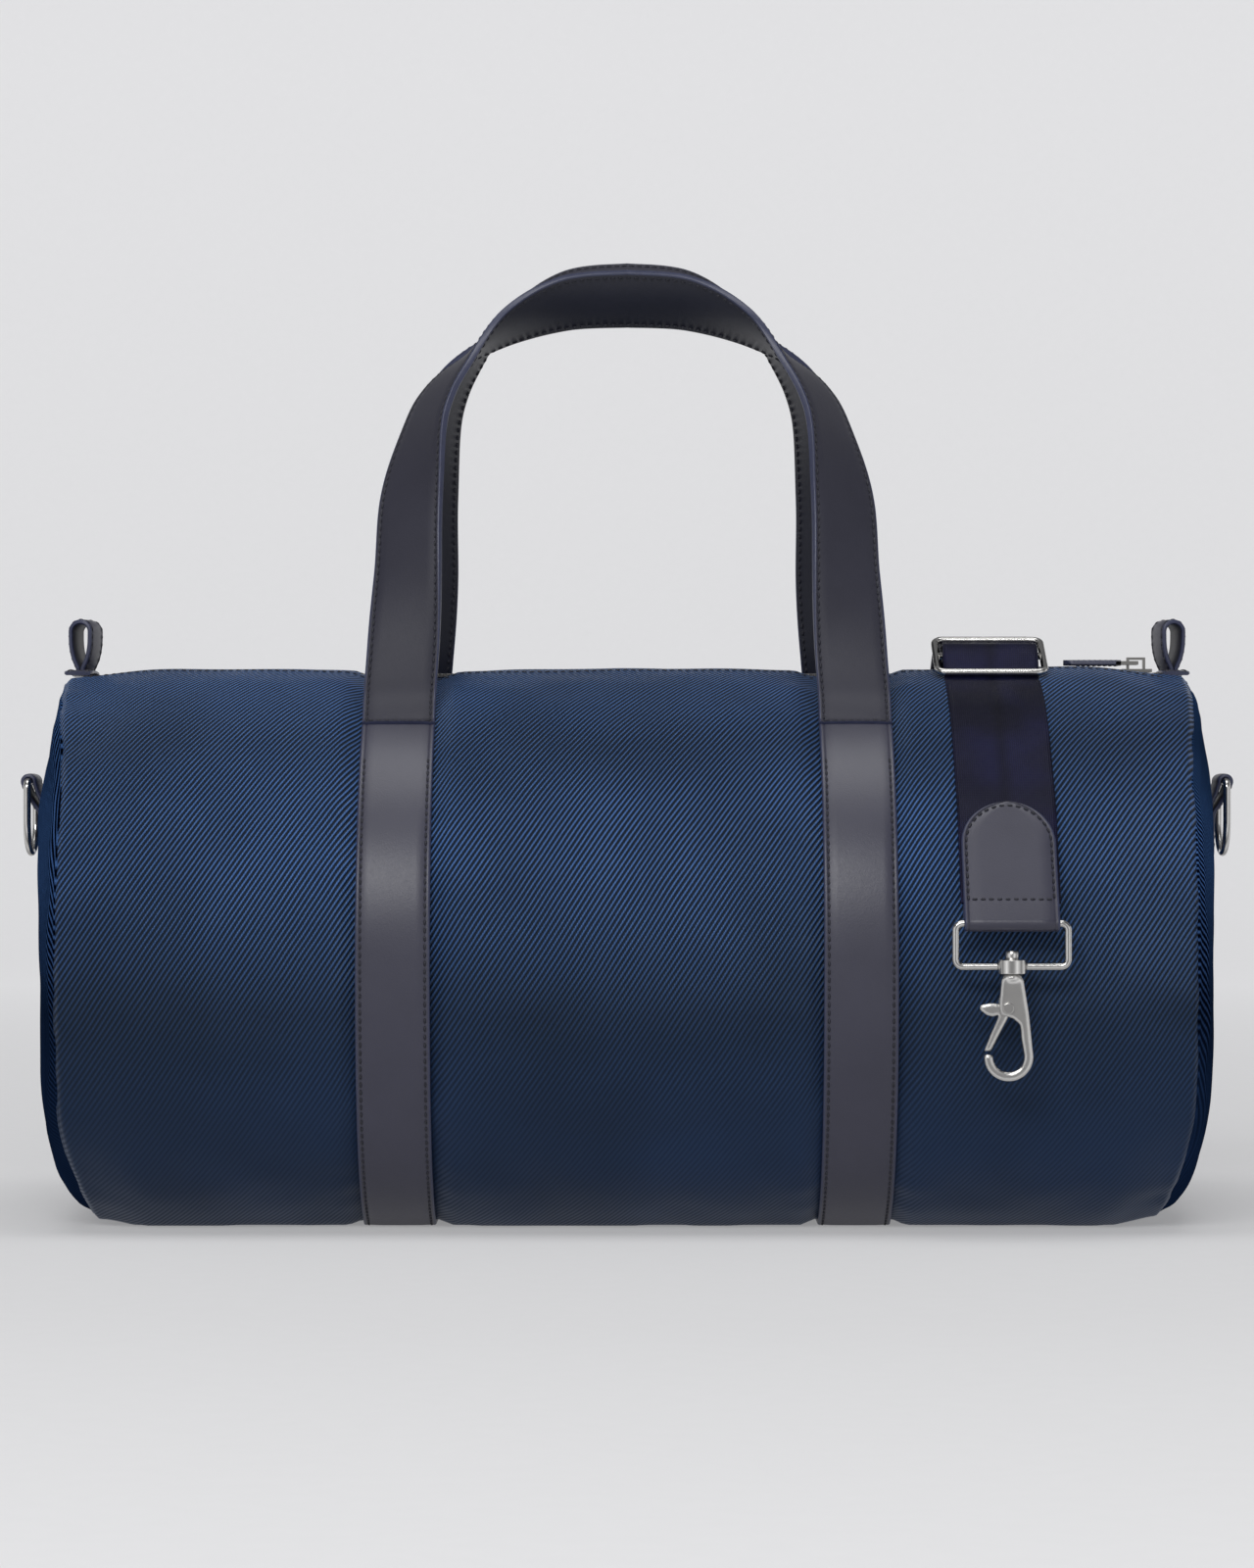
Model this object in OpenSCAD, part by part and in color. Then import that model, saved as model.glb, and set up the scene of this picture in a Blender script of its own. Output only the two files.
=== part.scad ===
// Weekender bag: soft barrel body with a top zip, two carry handles, end rings
// and a detachable shoulder strap laid over one end.
// Frame: origin at the centre of the flat underside, +X to the zip's closed end,
// -Y to the front, +Z up. Millimetres.

/* [Body] */
// Half of the barrel's depth, front to back
half_depth = 125; // [115:1:135]
// Height of the barrel's widest line above the floor
mid_height = 112; // [108:1:116]
// Height of the barrel's crown above its widest line
crown_height = 120; // [114:1:126]
// Half of the barrel's length at the floor seam
half_length_low = 222; // [215:1:230]
// Extra half length of the barrel at the crown seam
crown_overhang = 19; // [10:1:24]
// How far the end panels bulge past their seams
end_bulge = 20; // [18:0.5:21]
// Thickness of the padded shell fabric
fabric_th = 2.2; // [1.8:0.1:2.4]

/* [Leather] */
// Width of the belts and handles
belt_w = 30; // [26:1:32]
// Distance of each belt's centre from the middle of the bag
belt_x = 94; // [88:1:98]
// Thickness of the belts
belt_th = 2.4; // [2:0.1:2.6]
// Thickness of a handle, both layers together
handle_th = 3; // [2.4:0.1:3.2]

/* [Zip] */
// Where the slider rests when the zip is closed
zip_closed_x = 218; // [216:1:219]
// Half of the gap between the fabric edges at the zip
mouth_half = 12; // [11:0.5:13]

/* [Shoulder strap] */
// Where the strap crosses the bag
strap_x = 153; // [150:1:160]
// Width of the webbing
web_w = 40; // [38:1:40]
// Thickness of the webbing
web_th = 1.6; // [1.4:0.1:1.7]
// Wire radius of the strap's metal frames
wire_r = 1.5; // [1.3:0.1:1.5]

/* [Hidden] */

$fn = 48;

leather_colour = [0.17, 0.17, 0.23];
fabric_colour = [0.13, 0.20, 0.33];
lining_colour = [0.32, 0.34, 0.40];
webbing_colour = [0.12, 0.13, 0.24];
metal_colour = [0.78, 0.78, 0.78];

// ---- Barrel section -------------------------------------------------------
// Superellipse, a little squarer below the widest line, cut flat at the floor.
// grow is the distance outside (+) or inside (-) the shell's outer face.
top_power = 2 / 2.05;
low_power = 2 / 2.5;
function side(v) = v < 0 ? -1 : 1;
function power_at(t) = sin(t) < 0 ? low_power : top_power;
function sec(t, grow = 0) = [
    (half_depth + grow) * side(cos(t)) * pow(abs(cos(t)), power_at(t)),
    max(-grow, mid_height + (crown_height + grow) * side(sin(t)) * pow(abs(sin(t)), power_at(t)))
];
// Half length of the barrel at a height
crown_z = mid_height + crown_height;
function seam_x(z) = half_length_low + crown_overhang * pow(max(z, 0) / crown_z, 1.35);

// Angle on the section whose half depth is y
function mouth_angle(y) = acos(pow(y / half_depth, 1 / top_power));

// Band between two offsets of the section, from angle t0 to t1
function section_band(t0, t1, outer, inner, n = 60) = concat(
    [for (i = [0:n]) sec(t0 + (t1 - t0) * i / n, outer)],
    [for (i = [n:-1:0]) sec(t0 + (t1 - t0) * i / n, inner)]
);

// Extrudes a (Y, Z) outline along X, centred on x
module along_x(x, length) {
    translate([x - length / 2, 0, 0])
        rotate([90, 0, 90])
            linear_extrude(length)
                children();
}

// Extrudes an (X, Z) outline along Y, centred on y
module along_y(y, length) {
    translate([0, y + length / 2, 0])
        rotate([90, 0, 0])
            linear_extrude(length)
                children();
}

// ---- Thick sheets ---------------------------------------------------------
// A closed solid between two grids of points. Rows run along the first index.
// With wrap the last column joins the first. With cap the first row closes on
// the two points of caps, one for each face.
module thick_sheet(outer, inner, wrap = false, caps = []) {
    rows = len(outer);
    cols = len(outer[0]);
    spans = wrap ? cols : cols - 1;
    shift = rows * cols;
    capped = len(caps) == 2;
    o_cap = 2 * shift;
    i_cap = 2 * shift + 1;
    function o(i, j) = i * cols + j % cols;
    function n(i, j) = shift + i * cols + j % cols;
    points = concat(
        [for (row = outer) each row],
        [for (row = inner) each row],
        caps
    );
    skins = [for (i = [0:rows - 2]) for (j = [0:spans - 1]) each [
        [o(i, j), o(i + 1, j), o(i + 1, j + 1)],
        [o(i, j), o(i + 1, j + 1), o(i, j + 1)],
        [n(i, j), n(i + 1, j + 1), n(i + 1, j)],
        [n(i, j), n(i, j + 1), n(i + 1, j + 1)]
    ]];
    start = [for (j = [0:spans - 1]) each capped
        ? [[o(0, j), o(0, j + 1), o_cap], [n(0, j + 1), n(0, j), i_cap]]
        : [[o(0, j), o(0, j + 1), n(0, j + 1)], [o(0, j), n(0, j + 1), n(0, j)]]];
    last = rows - 1;
    finish = [for (j = [0:spans - 1]) each [
        [o(last, j + 1), o(last, j), n(last, j)],
        [o(last, j + 1), n(last, j), n(last, j + 1)]
    ]];
    edge = cols - 1;
    sides = wrap ? [] : [for (i = [0:rows - 2]) each [
        [o(i + 1, 0), o(i, 0), n(i, 0)],
        [o(i + 1, 0), n(i, 0), n(i + 1, 0)],
        [o(i, edge), o(i + 1, edge), n(i + 1, edge)],
        [o(i, edge), n(i + 1, edge), n(i, edge)]
    ]];
    polyhedron(points, concat(skins, start, finish, sides), convexity = 8);
}

// ---- Flat bands along a route ---------------------------------------------
function unit(v) = v / norm(v);
function turn(v) = [-v[1], v[0]];
function heading(p, i) = unit(p[min(i + 1, len(p) - 1)] - p[max(i - 1, 0)]);
// A route moved sideways, to the left of its heading
function shifted(p, d) = [for (i = [0:len(p) - 1]) p[i] + d * turn(heading(p, i))];
// Closed outline of a band of a given thickness along a route
function band(p, th) = concat(
    shifted(p, th / 2),
    [for (q = [len(p) - 1:-1:0]) shifted(p, -th / 2)[q]]
);
function arc(c, r, a0, a1, n = 8) =
    [for (i = [0:n]) c + r * [cos(a0 + (a1 - a0) * i / n), sin(a0 + (a1 - a0) * i / n)]];
// Smooth curve through every point of a list
function blend4(a, b, c, d, u) = 0.5 * (2 * b + (c - a) * u
    + (2 * a - 5 * b + 4 * c - d) * u * u + (3 * b - a - 3 * c + d) * u * u * u);
function smooth(p, n) = concat(
    [for (i = [0:len(p) - 2]) for (k = [0:n - 1])
        blend4(p[max(i - 1, 0)], p[i], p[i + 1], p[min(i + 2, len(p) - 1)], k / n)],
    [p[len(p) - 1]]
);

// ---- Shell ----------------------------------------------------------------
belt_in = belt_x - belt_w / 2;
belt_out = belt_x + belt_w / 2;
shoulder_x = 190;
seam_tuck = 3;
mouth_turn = 90 - mouth_angle(mouth_half);
// Position and inset of each ring on the right half. The fabric is drawn in
// under the belts, so that the belts lie nearly flush.
half_rings = [
    [belt_in - 4, 0], [belt_in - 0.4, -belt_th],
    [belt_out + 0.4, -belt_th], [belt_out + 4, 0], [shoulder_x, 0]
];
middle_rings = concat(
    [for (i = [len(half_rings) - 1:-1:0]) [-half_rings[i][0], half_rings[i][1]]],
    half_rings
);
function barrel_row(x, grow, n = 44) = [for (j = [0:n])
    let (s = sec(90 + mouth_turn + (360 - 2 * mouth_turn) * j / n, grow)) [x, s[0], s[1]]];
function seam_row(end, grow, n = 44) = [for (p = barrel_row(0, grow, n))
    [end * seam_x(p[2]), p[1], p[2]]];
function barrel_grid(grow) = concat(
    [seam_row(-1, grow - seam_tuck)],
    [for (r = middle_rings) barrel_row(r[0], r[1] + grow)],
    [seam_row(1, grow - seam_tuck)]
);

module barrel_panel() {
    color(fabric_colour)
        thick_sheet(barrel_grid(0), barrel_grid(-fabric_th));
}

// Domed end. The dome is fullest low down, where the load sits.
dome_z = 80;
dome_low_power = 4;
dome_high_power = 1.6;
function dome_power(t) = (dome_low_power + dome_high_power) / 2
    - (dome_low_power - dome_high_power) / 2 * sin(t);
function dome_point(r, t, grow, lift) =
    let (s = sec(t, grow), y = r * s[0], z = dome_z + r * (s[1] - dome_z))
    [seam_x(z) + lift + (end_bulge - fabric_th) * (1 - pow(r, dome_power(t))), y, z];
function dome_grid(levels, cols, grow, lift) = [for (r = levels)
    [for (j = [0:cols - 1]) dome_point(r, 360 * j / cols, grow, lift)]];
module dome(levels, cols, grow, low, high) {
    thick_sheet(
        dome_grid(levels, cols, grow, low), dome_grid(levels, cols, grow, high), wrap = true,
        caps = [dome_point(0, 0, grow, low), dome_point(0, 0, grow, high)]
    );
}
dome_levels = [0.15, 0.35, 0.55, 0.72, 0.86, 0.95, 1];
module end_panel() {
    color(fabric_colour)
        dome(dome_levels, 36, -seam_tuck, 0, fabric_th);
}
module end_panel_right() end_panel();
module end_panel_left() mirror([1, 0, 0]) end_panel();

// ---- Inside ---------------------------------------------------------------
lining_gap = belt_th + fabric_th + 0.6;
lining_th = 0.8;
lining_mouth = 90 - mouth_angle(mouth_half + 5);
lining_half_length = half_length_low - 4;
module barrel_lining() {
    color(lining_colour)
        along_x(0, 2 * lining_half_length)
            polygon(section_band(90 + lining_mouth, 450 - lining_mouth,
                -lining_gap, -lining_gap - lining_th));
}
module end_lining() {
    color(lining_colour)
        dome([0.3, 0.6, 0.85, 1], 24, -lining_gap - 1, -1.8, -1);
}
module end_lining_right() end_lining();
module end_lining_left() mirror([1, 0, 0]) end_lining();

binding_w = 10;
binding_th = 1.2;
module seam_binding(end) {
    inset = lining_gap + lining_th + 0.1;
    color(leather_colour)
        along_x(end * (lining_half_length - 6), binding_w)
            polygon(section_band(90 + lining_mouth, 450 - lining_mouth,
                -inset, -inset - binding_th));
}
module seam_binding_right() seam_binding(1);
module seam_binding_left() seam_binding(-1);

board = [400, 106, 3];
board_z = lining_gap + lining_th + 0.3;
module base_board() {
    color("dimgray")
        translate([-board[0] / 2, -board[1] / 2, board_z])
            cube(board);
}

// Slip pocket sewn flat on the back of the lining
pocket_w = 190;
module inner_pocket() {
    inset = lining_gap + lining_th + 0.3;
    color(lining_colour)
        along_x(0, pocket_w)
            polygon(section_band(-32, 22, -inset, -inset - lining_th, 16));
}

// ---- Belts ----------------------------------------------------------------
hinge_angle = 54;
belt_end_gap = 2;
module belt(end) {
    color(leather_colour)
        along_x(end * belt_x, belt_w)
            polygon(section_band(180 - hinge_angle + belt_end_gap,
                360 + hinge_angle - belt_end_gap, 0, 0.1 - belt_th, 72));
}
module belt_right() belt(1);
module belt_left() belt(-1);

// ---- Zip ------------------------------------------------------------------
tape_z = crown_z - 4;
tape_th = 0.8;
tape_half_length = 230;
teeth_gap = 0.65;
teeth_y = 3.2;
teeth_low = tape_z - 0.8;
teeth_high = tape_z + tape_th + 1.6;
teeth_start = -212;
teeth_end = 224;
module box_between(low, high) {
    translate(low)
        cube(high - low);
}
module zip_tape() {
    color(leather_colour)
        box_between([-tape_half_length, teeth_y, tape_z],
            [tape_half_length, mouth_half + 4, tape_z + tape_th]);
}
module zip_tape_back() zip_tape();
module zip_tape_front() mirror([0, 1, 0]) zip_tape();
module zip_teeth() {
    color(metal_colour)
        box_between([teeth_start, teeth_gap, teeth_low], [teeth_end, teeth_y, teeth_high]);
}
module zip_teeth_back() zip_teeth();
module zip_teeth_front() mirror([0, 1, 0]) zip_teeth();

// Two crimped top stops and the box at the open end
module zip_stops() {
    low = teeth_low - 0.3;
    high = teeth_high + 0.3;
    color(metal_colour) {
        for (s = [0, 1])
            mirror([0, s, 0])
                box_between([teeth_end + 1.3, teeth_gap, low], [teeth_end + 3.3, teeth_y, high]);
        box_between([teeth_start - 3, -teeth_y, low], [teeth_start - 0.2, teeth_y, high]);
    }
}

// Leather patch that closes each end of the mouth
patch_x = 233.6;
patch_len = 12;
patch_low = -2;
patch_high = -0.4;
module zip_end(end) {
    half_turn = 90 - mouth_angle(mouth_half + 3);
    color(leather_colour)
        along_x(end * patch_x, patch_len)
            polygon(section_band(90 - half_turn, 90 + half_turn, patch_high, patch_low, 8));
}
module zip_end_right() zip_end(1);
module zip_end_left() zip_end(-1);

// Slider: plates above and below the teeth, a web between the two rows and a
// bridge that carries the pull.
slider_len = 13;
slider_w = 9.5;
plate_th = 1.4;
plate_gap = 0.4;
web_half = 0.45;
bridge_half_len = 4;
bridge_half_w = 1.2;
top_plate_z = teeth_high + plate_gap;
bridge_top = top_plate_z + plate_th + 5;
pull_z = bridge_top - 2.4;
module zip_slider_body() {
    x0 = zip_closed_x - slider_len / 2;
    x1 = zip_closed_x + slider_len / 2;
    low = teeth_low - plate_gap - plate_th;
    color(metal_colour) {
        box_between([x0, -slider_w / 2, top_plate_z], [x1, slider_w / 2, top_plate_z + plate_th]);
        box_between([x0, -slider_w / 2, low], [x1, slider_w / 2, low + plate_th]);
        box_between([x0 + 2, -web_half, low], [x1 - 2, web_half, top_plate_z + plate_th]);
        along_y(0, 2 * bridge_half_w)
            difference() {
                translate([zip_closed_x - bridge_half_len, top_plate_z + plate_th - 0.2])
                    square([2 * bridge_half_len, 5.2]);
                translate([zip_closed_x - bridge_half_len + 1.1, top_plate_z + plate_th - 1])
                    square([2 * bridge_half_len - 2.2, 5]);
            }
    }
}

// Pull: a flat link through the bridge, and a leather tab on its far bar
link_bar = 1.6;
link_half_w = 3.5;
link_len = 8;
pull_len = 31;
pull_w = 7;
pull_th = 2.2;
module rod_y(x, z, half_len, r) {
    translate([x, half_len, z])
        rotate([90, 0, 0])
            cylinder(r = r, h = 2 * half_len);
}
module rod_x(x0, x1, y, z, r) {
    translate([x0, y, z])
        rotate([0, 90, 0])
            cylinder(r = r, h = x1 - x0);
}
// Three sides of the link, grown by grow on every face, and its round hinge bar
// on the pull's axis
module pull_link(grow = 0) {
    half = link_bar / 2 + grow;
    difference() {
        box_between([zip_closed_x - link_len - half, -link_half_w - grow, pull_z - half],
            [zip_closed_x + half, link_half_w + grow, pull_z + half]);
        box_between([zip_closed_x - link_len + half, -link_half_w + 2 * half, pull_z - 2],
            [zip_closed_x + 2, link_half_w - 2 * half, pull_z + 2]);
    }
    rod_y(zip_closed_x, pull_z, link_half_w - 0.4, link_bar / 2 - 0.05);
}
module zip_pull_link() {
    color(metal_colour)
        pull_link();
}
leather_start = 6.6;
module zip_pull_leather() {
    color(leather_colour)
        difference() {
            box_between([zip_closed_x - pull_len, -pull_w / 2, pull_z - pull_th / 2],
                [zip_closed_x - leather_start, pull_w / 2, pull_z + pull_th / 2]);
            pull_link(0.05);
        }
}

// ---- End loops and rings --------------------------------------------------
loop_x = 232;
loop_th = 1.8;
loop_w = 15;
loop_top_r = 4.3;
loop_arc_z = 16.4;
loop_base_z = crown_z + patch_high;
loop_route = concat(
    [[-1, 0], [-1, 0.6], [-3.7, 8.5]],
    arc([0, loop_arc_z], loop_top_r, 180, 0, 12),
    [[3.7, 8.5], [1, 0.6], [1, 0]]
);
module pull_loop(end) {
    color(leather_colour)
        translate([end * loop_x, 0, loop_base_z])
            along_y(0, loop_w)
                polygon(band(loop_route, loop_th));
}
module pull_loop_right() pull_loop(1);
module pull_loop_left() pull_loop(-1);

ring_x = 255.2;
ring_z = 184;
ring_r = 14.35;
ring_drop = 16;
ring_wire = 1.6;
ring_corner = 3;
tab_th = 1.6;
tab_w = 21;
// Quarter bend of a wire in the XZ plane, turning from angle a0
module bend(x, z, corner, r, a0, sweep = 90) {
    translate([x, 0, z])
        rotate([90, 0, 0])
            rotate([0, 0, a0])
                rotate_extrude(angle = sweep)
                    translate([corner, 0])
                        circle(r);
}
module post(x, z0, z1, r) {
    translate([x, 0, z0])
        cylinder(r = r, h = z1 - z0);
}
// D-shaped ring hanging from its straight bar, which lies on the origin
module d_ring_shape() {
    rod_x(-ring_r + ring_corner, ring_r - ring_corner, 0, 0, ring_wire);
    bend(ring_r - ring_corner, -ring_corner, ring_corner, ring_wire, 0);
    bend(-ring_r + ring_corner, -ring_corner, ring_corner, ring_wire, 90);
    for (x = [-ring_r, ring_r])
        post(x, -ring_drop, -ring_corner, ring_wire);
    bend(0, -ring_drop, ring_r, ring_wire, 180, 180);
}
module d_ring(end) {
    color(metal_colour)
        translate([end * ring_x, 0, ring_z])
            rotate([0, 0, 90])
                d_ring_shape();
}
module d_ring_right() d_ring(1);
module d_ring_left() d_ring(-1);

tab_fold_r = ring_wire + 0.1 + tab_th / 2;
tab_route = concat(
    [[-6.9, -31], [-7.3, -13], [-4, -5]],
    arc([0, 0], tab_fold_r, 190, -40, 14),
    [[0.6, -5], [-3.2, -11], [-5.5, -15], [-5.2, -31]]
);
module ring_tab() {
    color(leather_colour)
        translate([ring_x, 0, ring_z])
            along_y(0, tab_w)
                polygon(band(tab_route, tab_th));
}
module ring_tab_right() ring_tab();
module ring_tab_left() mirror([1, 0, 0]) ring_tab();

// ---- Handles --------------------------------------------------------------
// Route of the left half of a handle, from its sewn end to its crown:
// x, distance in front of the zip, z, and how far the strap has twisted.
hinge_point = sec(180 - hinge_angle);
handle_route = [
    [-belt_x, hinge_point[0], hinge_point[1], 0],
    [-94, -64.5, 221, 0],
    [-93, -58, 239, 2],
    [-91.5, -50, 271, 21],
    [-90.5, -42, 302, 30],
    [-86, -35, 330, 52],
    [-80, -31, 347, 64],
    [-69, -27, 361, 80],
    [-50, -22, 377, 110],
    [-26, -18, 387, 130],
    [0, -17, 389, 134]
];
// The back handle stands a little taller and narrower than the front one
free_z = 239;
back_lift = 0.06;
back_narrow = 0.03;
function reshaped(p, lift, narrow) = [
    p[0] * (1 - narrow * max(0, min(1, (p[2] - hinge_point[1]) / 60))),
    p[1],
    p[2] + lift * max(0, p[2] - free_z),
    p[3]
];
function handle_half(lift, narrow) = smooth([for (p = handle_route) reshaped(p, lift, narrow)], 3);
function handle_full(lift, narrow) = let (h = handle_half(lift, narrow)) concat(
    h,
    [for (i = [len(h) - 2:-1:0]) [-h[i][0], h[i][1], h[i][2], h[i][3]]]
);
function place(p) = [p[0], p[1], p[2]];
// Point of the strap at row i, w across its width and d out of its outer face
function handle_point(route, i, w, d) =
    let (
        t = unit(place(route[min(i + 1, len(route) - 1)]) - place(route[max(i - 1, 0)])),
        inward = unit([t[2], 0, -t[0]]),
        forward = cross(inward, t),
        across = cos(route[i][3]) * inward + sin(route[i][3]) * forward,
        outward = cross(across, t)
    )
    place(route[i]) + across * w + outward * d;
function handle_grid(route, d) = [for (i = [0:len(route) - 1])
    [handle_point(route, i, -belt_w / 2, d), handle_point(route, i, belt_w / 2, d)]];
layer_gap = 0.05;
module handle_layer(lift, narrow, high, low) {
    route = handle_full(lift, narrow);
    color(leather_colour)
        thick_sheet(handle_grid(route, high), handle_grid(route, low));
}
module handle_front_outer() handle_layer(0, 0, handle_th / 2, layer_gap);
module handle_front_lining() handle_layer(0, 0, -layer_gap, -handle_th / 2);
module handle_back_outer()
    mirror([0, 1, 0])
        handle_layer(back_lift, back_narrow, handle_th / 2, layer_gap);
module handle_back_lining()
    mirror([0, 1, 0])
        handle_layer(back_lift, back_narrow, -layer_gap, -handle_th / 2);

// ---- Shoulder strap -------------------------------------------------------
// Routes are (Y, Z) points in the plane of the strap.
slider_tilt = 28;
slider_c = [-28.5, 237];
bar_pitch = 15;
slider_dir = [cos(slider_tilt), sin(slider_tilt)];
slider_up = turn(slider_dir);
reach = wire_r + web_th / 2 + 0.25;
fold_reach = reach + web_th + 0.3;
layer_pitch = web_th + 0.3;
low_bar = slider_c - bar_pitch * slider_dir;
high_bar = slider_c + bar_pitch * slider_dir;

front_bar = [-138.5, 127.6];
front_lean = 29;
front_up = [sin(front_lean), cos(front_lean)];
front_out = turn(front_up);
rear_bar = [206, 14];
rear_rise = 28;
rear_dir = [cos(rear_rise), sin(rear_rise)];

// Single layer, from the front tab to the slider
front_run = smooth([
    front_bar + 9 * front_up, front_bar + 30 * front_up, front_bar + 48 * front_up,
    front_bar + 54 * front_up, front_bar + 57 * front_up,
    sec(142, 1.1), sec(132, 1.1), sec(122, 1.1), sec(112, 1.3),
    low_bar + 0.4 * slider_dir - reach * slider_up,
    slider_c + fold_reach * slider_up,
    high_bar - slider_dir - reach * slider_up
], 4);
// Middle of the double layer, from the slider over the top to the rear hook
back_run = smooth([
    high_bar - slider_dir - (reach + layer_pitch / 2) * slider_up,
    [4, 244.5], [24, 241.5], [46, 231],
    sec(58, 2.1), sec(48, 2.1), sec(36, 2.1), sec(24, 2.1), sec(12, 2.1),
    [127.6, 112], [128, 90], [128.5, 60], [130, 36], [137, 17], [151, 5.5],
    [168, 2.2], [184, 4.5],
    rear_bar - 9 * rear_dir
], 3);
outer_run = shifted(back_run, layer_pitch / 2);
inner_run = shifted(back_run, -layer_pitch / 2);
webbing_route = concat(
    [for (i = [0:len(front_run) - 2]) front_run[i]],
    outer_run,
    arc(rear_bar, reach, rear_rise + 90, rear_rise - 90, 10),
    [for (i = [len(inner_run) - 1:-1:0]) inner_run[i]],
    arc(slider_c, reach, slider_tilt - 90, slider_tilt - 270, 10)
);
module strap_webbing() {
    color(webbing_colour)
        along_x(strap_x, web_w)
            polygon(band(webbing_route, web_th));
}

// Rectangular wire frame in the XZ plane, its top bar on the X axis
frame_corner = 2.9;
module wire_frame(half_x, height) {
    c = frame_corner;
    for (z = [0, -height])
        rod_x(-half_x + c, half_x - c, 0, z, wire_r);
    for (x = [-half_x, half_x])
        post(x, -height + c, -c, wire_r);
    bend(half_x - c, -c, c, wire_r, 0);
    bend(-half_x + c, -c, c, wire_r, 90);
    bend(-half_x + c, -height + c, c, wire_r, 180);
    bend(half_x - c, -height + c, c, wire_r, 270);
}
slider_half_x = 22.5;
module strap_slider() {
    color(metal_colour)
        translate([strap_x, high_bar[0], high_bar[1]])
            rotate([slider_tilt - 90, 0, 0]) {
                wire_frame(slider_half_x, 2 * bar_pitch);
                rod_x(-slider_half_x, slider_half_x, 0, -bar_pitch, wire_r);
            }
}

// Leather tab folded round the front loop's bar, with a rounded upper end
leaf_th = 1.6;
leaf_offset = (web_th + leaf_th) / 2 + 0.1;
leaf_fold_r = wire_r + 0.1 + leaf_th / 2;
leaf_len = 54;
leaf_w = 38;
leaf_route = concat(
    [front_bar + leaf_len * front_up + leaf_offset * front_out,
        front_bar + 9 * front_up + leaf_offset * front_out],
    arc(front_bar, leaf_fold_r, 180 - front_lean, 360 - front_lean, 14),
    [front_bar + 9 * front_up - leaf_offset * front_out,
        front_bar + leaf_len * front_up - leaf_offset * front_out]
);
module leaf_outline() {
    translate([-leaf_w / 2, -6])
        square([leaf_w, leaf_len - leaf_w / 2 + 6]);
    translate([0, leaf_len - leaf_w / 2])
        circle(r = leaf_w / 2);
}
module strap_tab() {
    color(leather_colour)
        intersection() {
            along_x(strap_x, leaf_w + 2)
                polygon(band(leaf_route, leaf_th));
            translate([strap_x, front_bar[0], front_bar[1]])
                rotate([90 - front_lean, 0, 0])
                    translate([0, 0, -6])
                        linear_extrude(12)
                            leaf_outline();
        }
}

// ---- Swivel snap hook -----------------------------------------------------
// Drawn hanging from the middle of its loop's bar, front face towards -Y.
loop_half_x = 22.4;
loop_height = 17.1;
collar_r = 6.1;
collar_low = -19.9;
collar_high = -14.4;
stem_r = 2.55;
stem_bore = 2.6;
neck_high = collar_low - 0.3;
hook_th = 6.5;
rivet = [-1.6, -33.6];
bow = [-1.5, -52.8];
bow_out = 9.8;
bow_in = 6.2;
slot_half = 1.6;
gate_half = 1.5;
pin_r = 1.25;

module swivel_loop() {
    difference() {
        union() {
            wire_frame(loop_half_x, loop_height);
            post(0, collar_low, collar_high, collar_r);
        }
        post(0, collar_low - 1, collar_high + 1, stem_bore);
    }
}
module hook_outline() {
    // Shoulders round the gate's pin
    polygon([
        [-4.3, neck_high - 1.5], [4.3, neck_high - 1.5],
        [6.6, -36], [8.3, bow[1]], [4.7, bow[1]], [3, -40],
        [0, -37.6], [-4.6, -36.4], [-5.4, -33]
    ]);
    // Bow, open at its upper left
    difference() {
        translate(bow)
            circle(bow_out);
        translate(bow)
            circle(bow_in);
        polygon([bow, bow + [6.2, 0.01], bow + [4, 14], bow + [-14, 14], bow + [-14, 1.5]]);
    }
}
module swivel_hook() {
    difference() {
        union() {
            along_y(0, hook_th)
                hook_outline();
            post(0, neck_high - 2.4, neck_high, 4.3);
            post(0, neck_high - 1, collar_high + 0.3, stem_r);
            post(0, collar_high + 0.2, collar_high + 3.6, 2.95);
        }
        // Slot for the gate, open to the left and below
        box_between([-14, -slot_half, -38.2], [2.2, slot_half, -28.6]);
        rod_y(rivet[0], rivet[1], hook_th, pin_r + 0.01);
    }
}
gate_boss_r = 2.5;
gate_arm = [
    rivet + [1.2, -1.6], [-5.4, -44.6], [-8.6, bow[1] + 2.1],
    [-11.2, bow[1] + 2.2], [-8.4, -43.6], rivet + [-2.2, 0.2]
];
thumb_lever = [
    rivet + [-1.6, 1.6], [-9, -31.6], [-12.6, -32.4], [-13, -34],
    [-10.4, -36.2], [-7.6, -37], rivet + [-1.6, -1.8]
];
spring_y0 = 0.2;
spring_r = 2.3;
spring_space_r = 3.2;
module swivel_gate() {
    difference() {
        union() {
            rod_y(rivet[0], rivet[1], gate_half, gate_boss_r);
            along_y(0, 2 * gate_half)
                polygon(gate_arm);
            along_y(0, 2 * gate_half)
                polygon(thumb_lever);
        }
        rod_y(rivet[0], rivet[1], 2 * gate_half, pin_r + 0.05);
        // Half of the boss is cut away to make room for the spring
        translate([rivet[0], 2, rivet[1]])
            rotate([90, 0, 0])
                cylinder(r = spring_space_r, h = 2);
    }
}
module gate_spring() {
    translate([rivet[0], gate_half - 0.1, rivet[1]])
        rotate([90, 0, 0])
            difference() {
                cylinder(r = spring_r, h = gate_half - 0.1 - spring_y0);
                translate([0, 0, -1])
                    cylinder(r = pin_r + 0.15, h = 4);
            }
}
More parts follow.
